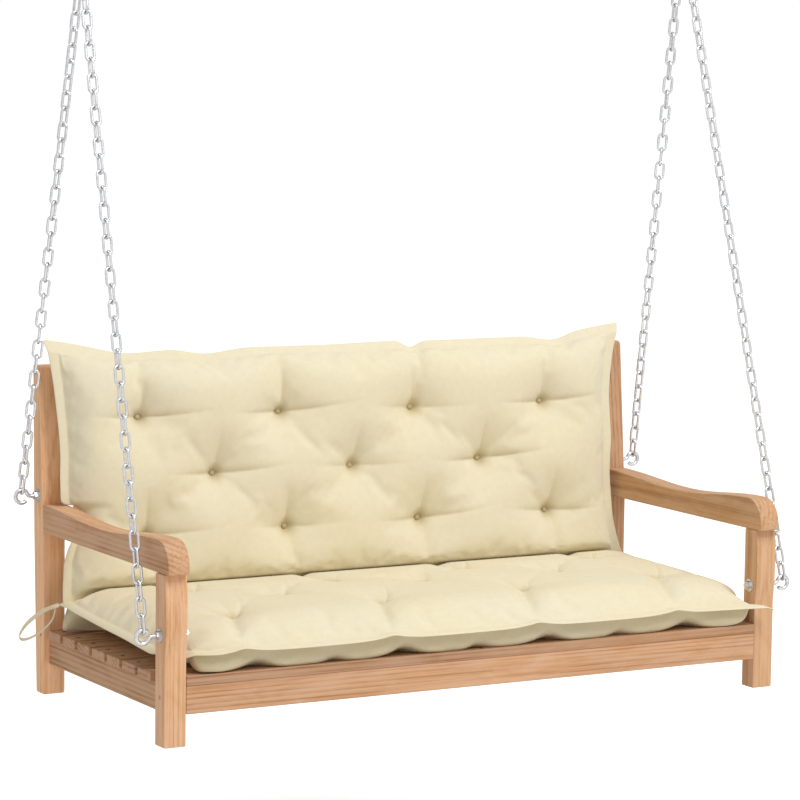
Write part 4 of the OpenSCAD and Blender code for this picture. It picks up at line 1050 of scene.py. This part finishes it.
class PORCHSWING_OT_stage(bpy.types.Operator):
    """Set the pale floor, the soft light and the camera"""
    bl_idname = "porchswing.stage"
    bl_label = "Stage"

    def execute(self, context):
        scene, size = context.scene, context.scene.swing_stage
        yaw, pitch, roll = (math.radians(a) for a in (CAMERA_YAW, CAMERA_PITCH, CAMERA_ROLL))
        ahead = Vector((math.sin(yaw) * math.cos(pitch), math.cos(yaw) * math.cos(pitch), -math.sin(pitch)))
        right = Vector((math.cos(yaw), -math.sin(yaw), 0))
        up = right.cross(ahead)
        right, up = right * math.cos(roll) + up * math.sin(roll), up * math.cos(roll) - right * math.sin(roll)
        data = bpy.data.cameras.new("camera")
        data.sensor_width, data.lens = SENSOR_WIDTH, size.lens
        data.clip_start, data.clip_end = 0.1, 200
        camera = link_new("camera", data)
        turned = Matrix((right, up, -ahead)).transposed().to_4x4()
        camera.matrix_world = Matrix.Translation(BENCH + CAMERA_AT) @ turned
        scene.camera = camera

        deselect()
        bpy.ops.mesh.primitive_plane_add(size=FLOOR_WIDTH, location=(0, 0, BENCH.z - size.floor_drop))
        floor = as_piece("floor")
        g = Graph(bpy.data.materials.new("Floor"))
        g.wire(g.shader, {"Base Color": linear(size.floor), "Roughness": 0.9, "Specular IOR Level": 0.1})
        away = g.add("VectorMath", {0: g.coordinates((1, 1, 0))}, operation="LENGTH").outputs["Value"]
        strength = g.range(away, size.near_glow, size.far_glow, GLOW_FROM, GLOW_TO)
        glow = g.add("Emission", {
            "Color": linear((1, 1, 1)), "Strength": g.maths("MULTIPLY", seen_directly(g), strength)})
        both = g.add("AddShader", {0: g.shader.outputs[0], 1: glow.outputs[0]})
        g.wire(g.tree.nodes["Material Output"], {"Surface": both.outputs[0]})
        coat(floor, g.owner)

        scene.world = bpy.data.worlds.new("studio")
        g = Graph(scene.world)
        soft = g.tree.nodes["Background"]
        g.wire(soft, {"Color": linear(STUDIO_TINT), "Strength": size.ambient})
        white = g.add("Background", {"Color": linear((1, 1, 1)), "Strength": 1})
        mix = g.add("MixShader", {0: seen_directly(g, MIRRORED), 1: soft.outputs[0], 2: white.outputs[0]})
        g.wire(g.tree.nodes["World Output"], {"Surface": mix.outputs[0]})

        light = bpy.data.lights.new("key_lamp", "AREA")
        light.shape, light.size, light.energy = "SQUARE", KEY_WIDTH, size.key
        lamp = link_new("key_lamp", light)
        target = BENCH + KEY_TARGET
        lamp.location = target + KEY_FROM.normalized() * KEY_AWAY
        lamp.rotation_euler = (target - lamp.location).to_track_quat("-Z", "Y").to_euler()
        scene.view_settings.view_transform = "Standard"
        return {"FINISHED"}


# ---- Add-on ----

STEPS = [
    (PORCHSWING_OT_stage, "SCENE"), (PORCHSWING_OT_tie, "CURVE_DATA"), (PORCHSWING_OT_boards, "MESH_CUBE"),
    (PORCHSWING_OT_hardware, "LINKED"), (PORCHSWING_OT_seat_cushion, "MOD_CLOTH"),
    (PORCHSWING_OT_back_cushion, "MOD_CLOTH")]
GROUPS = {
    "swing_timber": SwingTimber, "swing_cushions": SwingCushions, "swing_hardware": SwingHardware,
    "swing_stage": SwingStage}


class PORCHSWING_PT_panel(bpy.types.Panel):
    """Sizes and colours of the swing, and the steps that dress it"""
    bl_idname = "PORCHSWING_PT_panel"
    bl_label = "Porch Swing"
    bl_space_type = "VIEW_3D"
    bl_region_type = "UI"
    bl_category = "Porch Swing"

    def draw(self, context):
        layout = self.layout
        for key, group in GROUPS.items():
            box = layout.box()
            box.label(text=group.__doc__)
            for name in group.__annotations__:
                box.prop(getattr(context.scene, key), name)
        for step, icon in STEPS:
            layout.operator(step.bl_idname, icon=icon)


CLASSES = [*GROUPS.values(), *(step for step, _ in STEPS), PORCHSWING_PT_panel]


def register():
    for item in CLASSES:
        bpy.utils.register_class(item)
    for key, group in GROUPS.items():
        setattr(bpy.types.Scene, key, bpy.props.PointerProperty(type=group))


def unregister():
    for key in GROUPS:
        delattr(bpy.types.Scene, key)
    for item in reversed(CLASSES):
        bpy.utils.unregister_class(item)


def main():
    register()
    bpy.ops.porchswing.stage()
    bpy.ops.porchswing.tie()
    bpy.ops.porchswing.boards()
    bpy.ops.porchswing.hardware()
    bpy.ops.porchswing.seat_cushion()
    bpy.ops.porchswing.back_cushion()


if __name__ == "__main__":
    main()
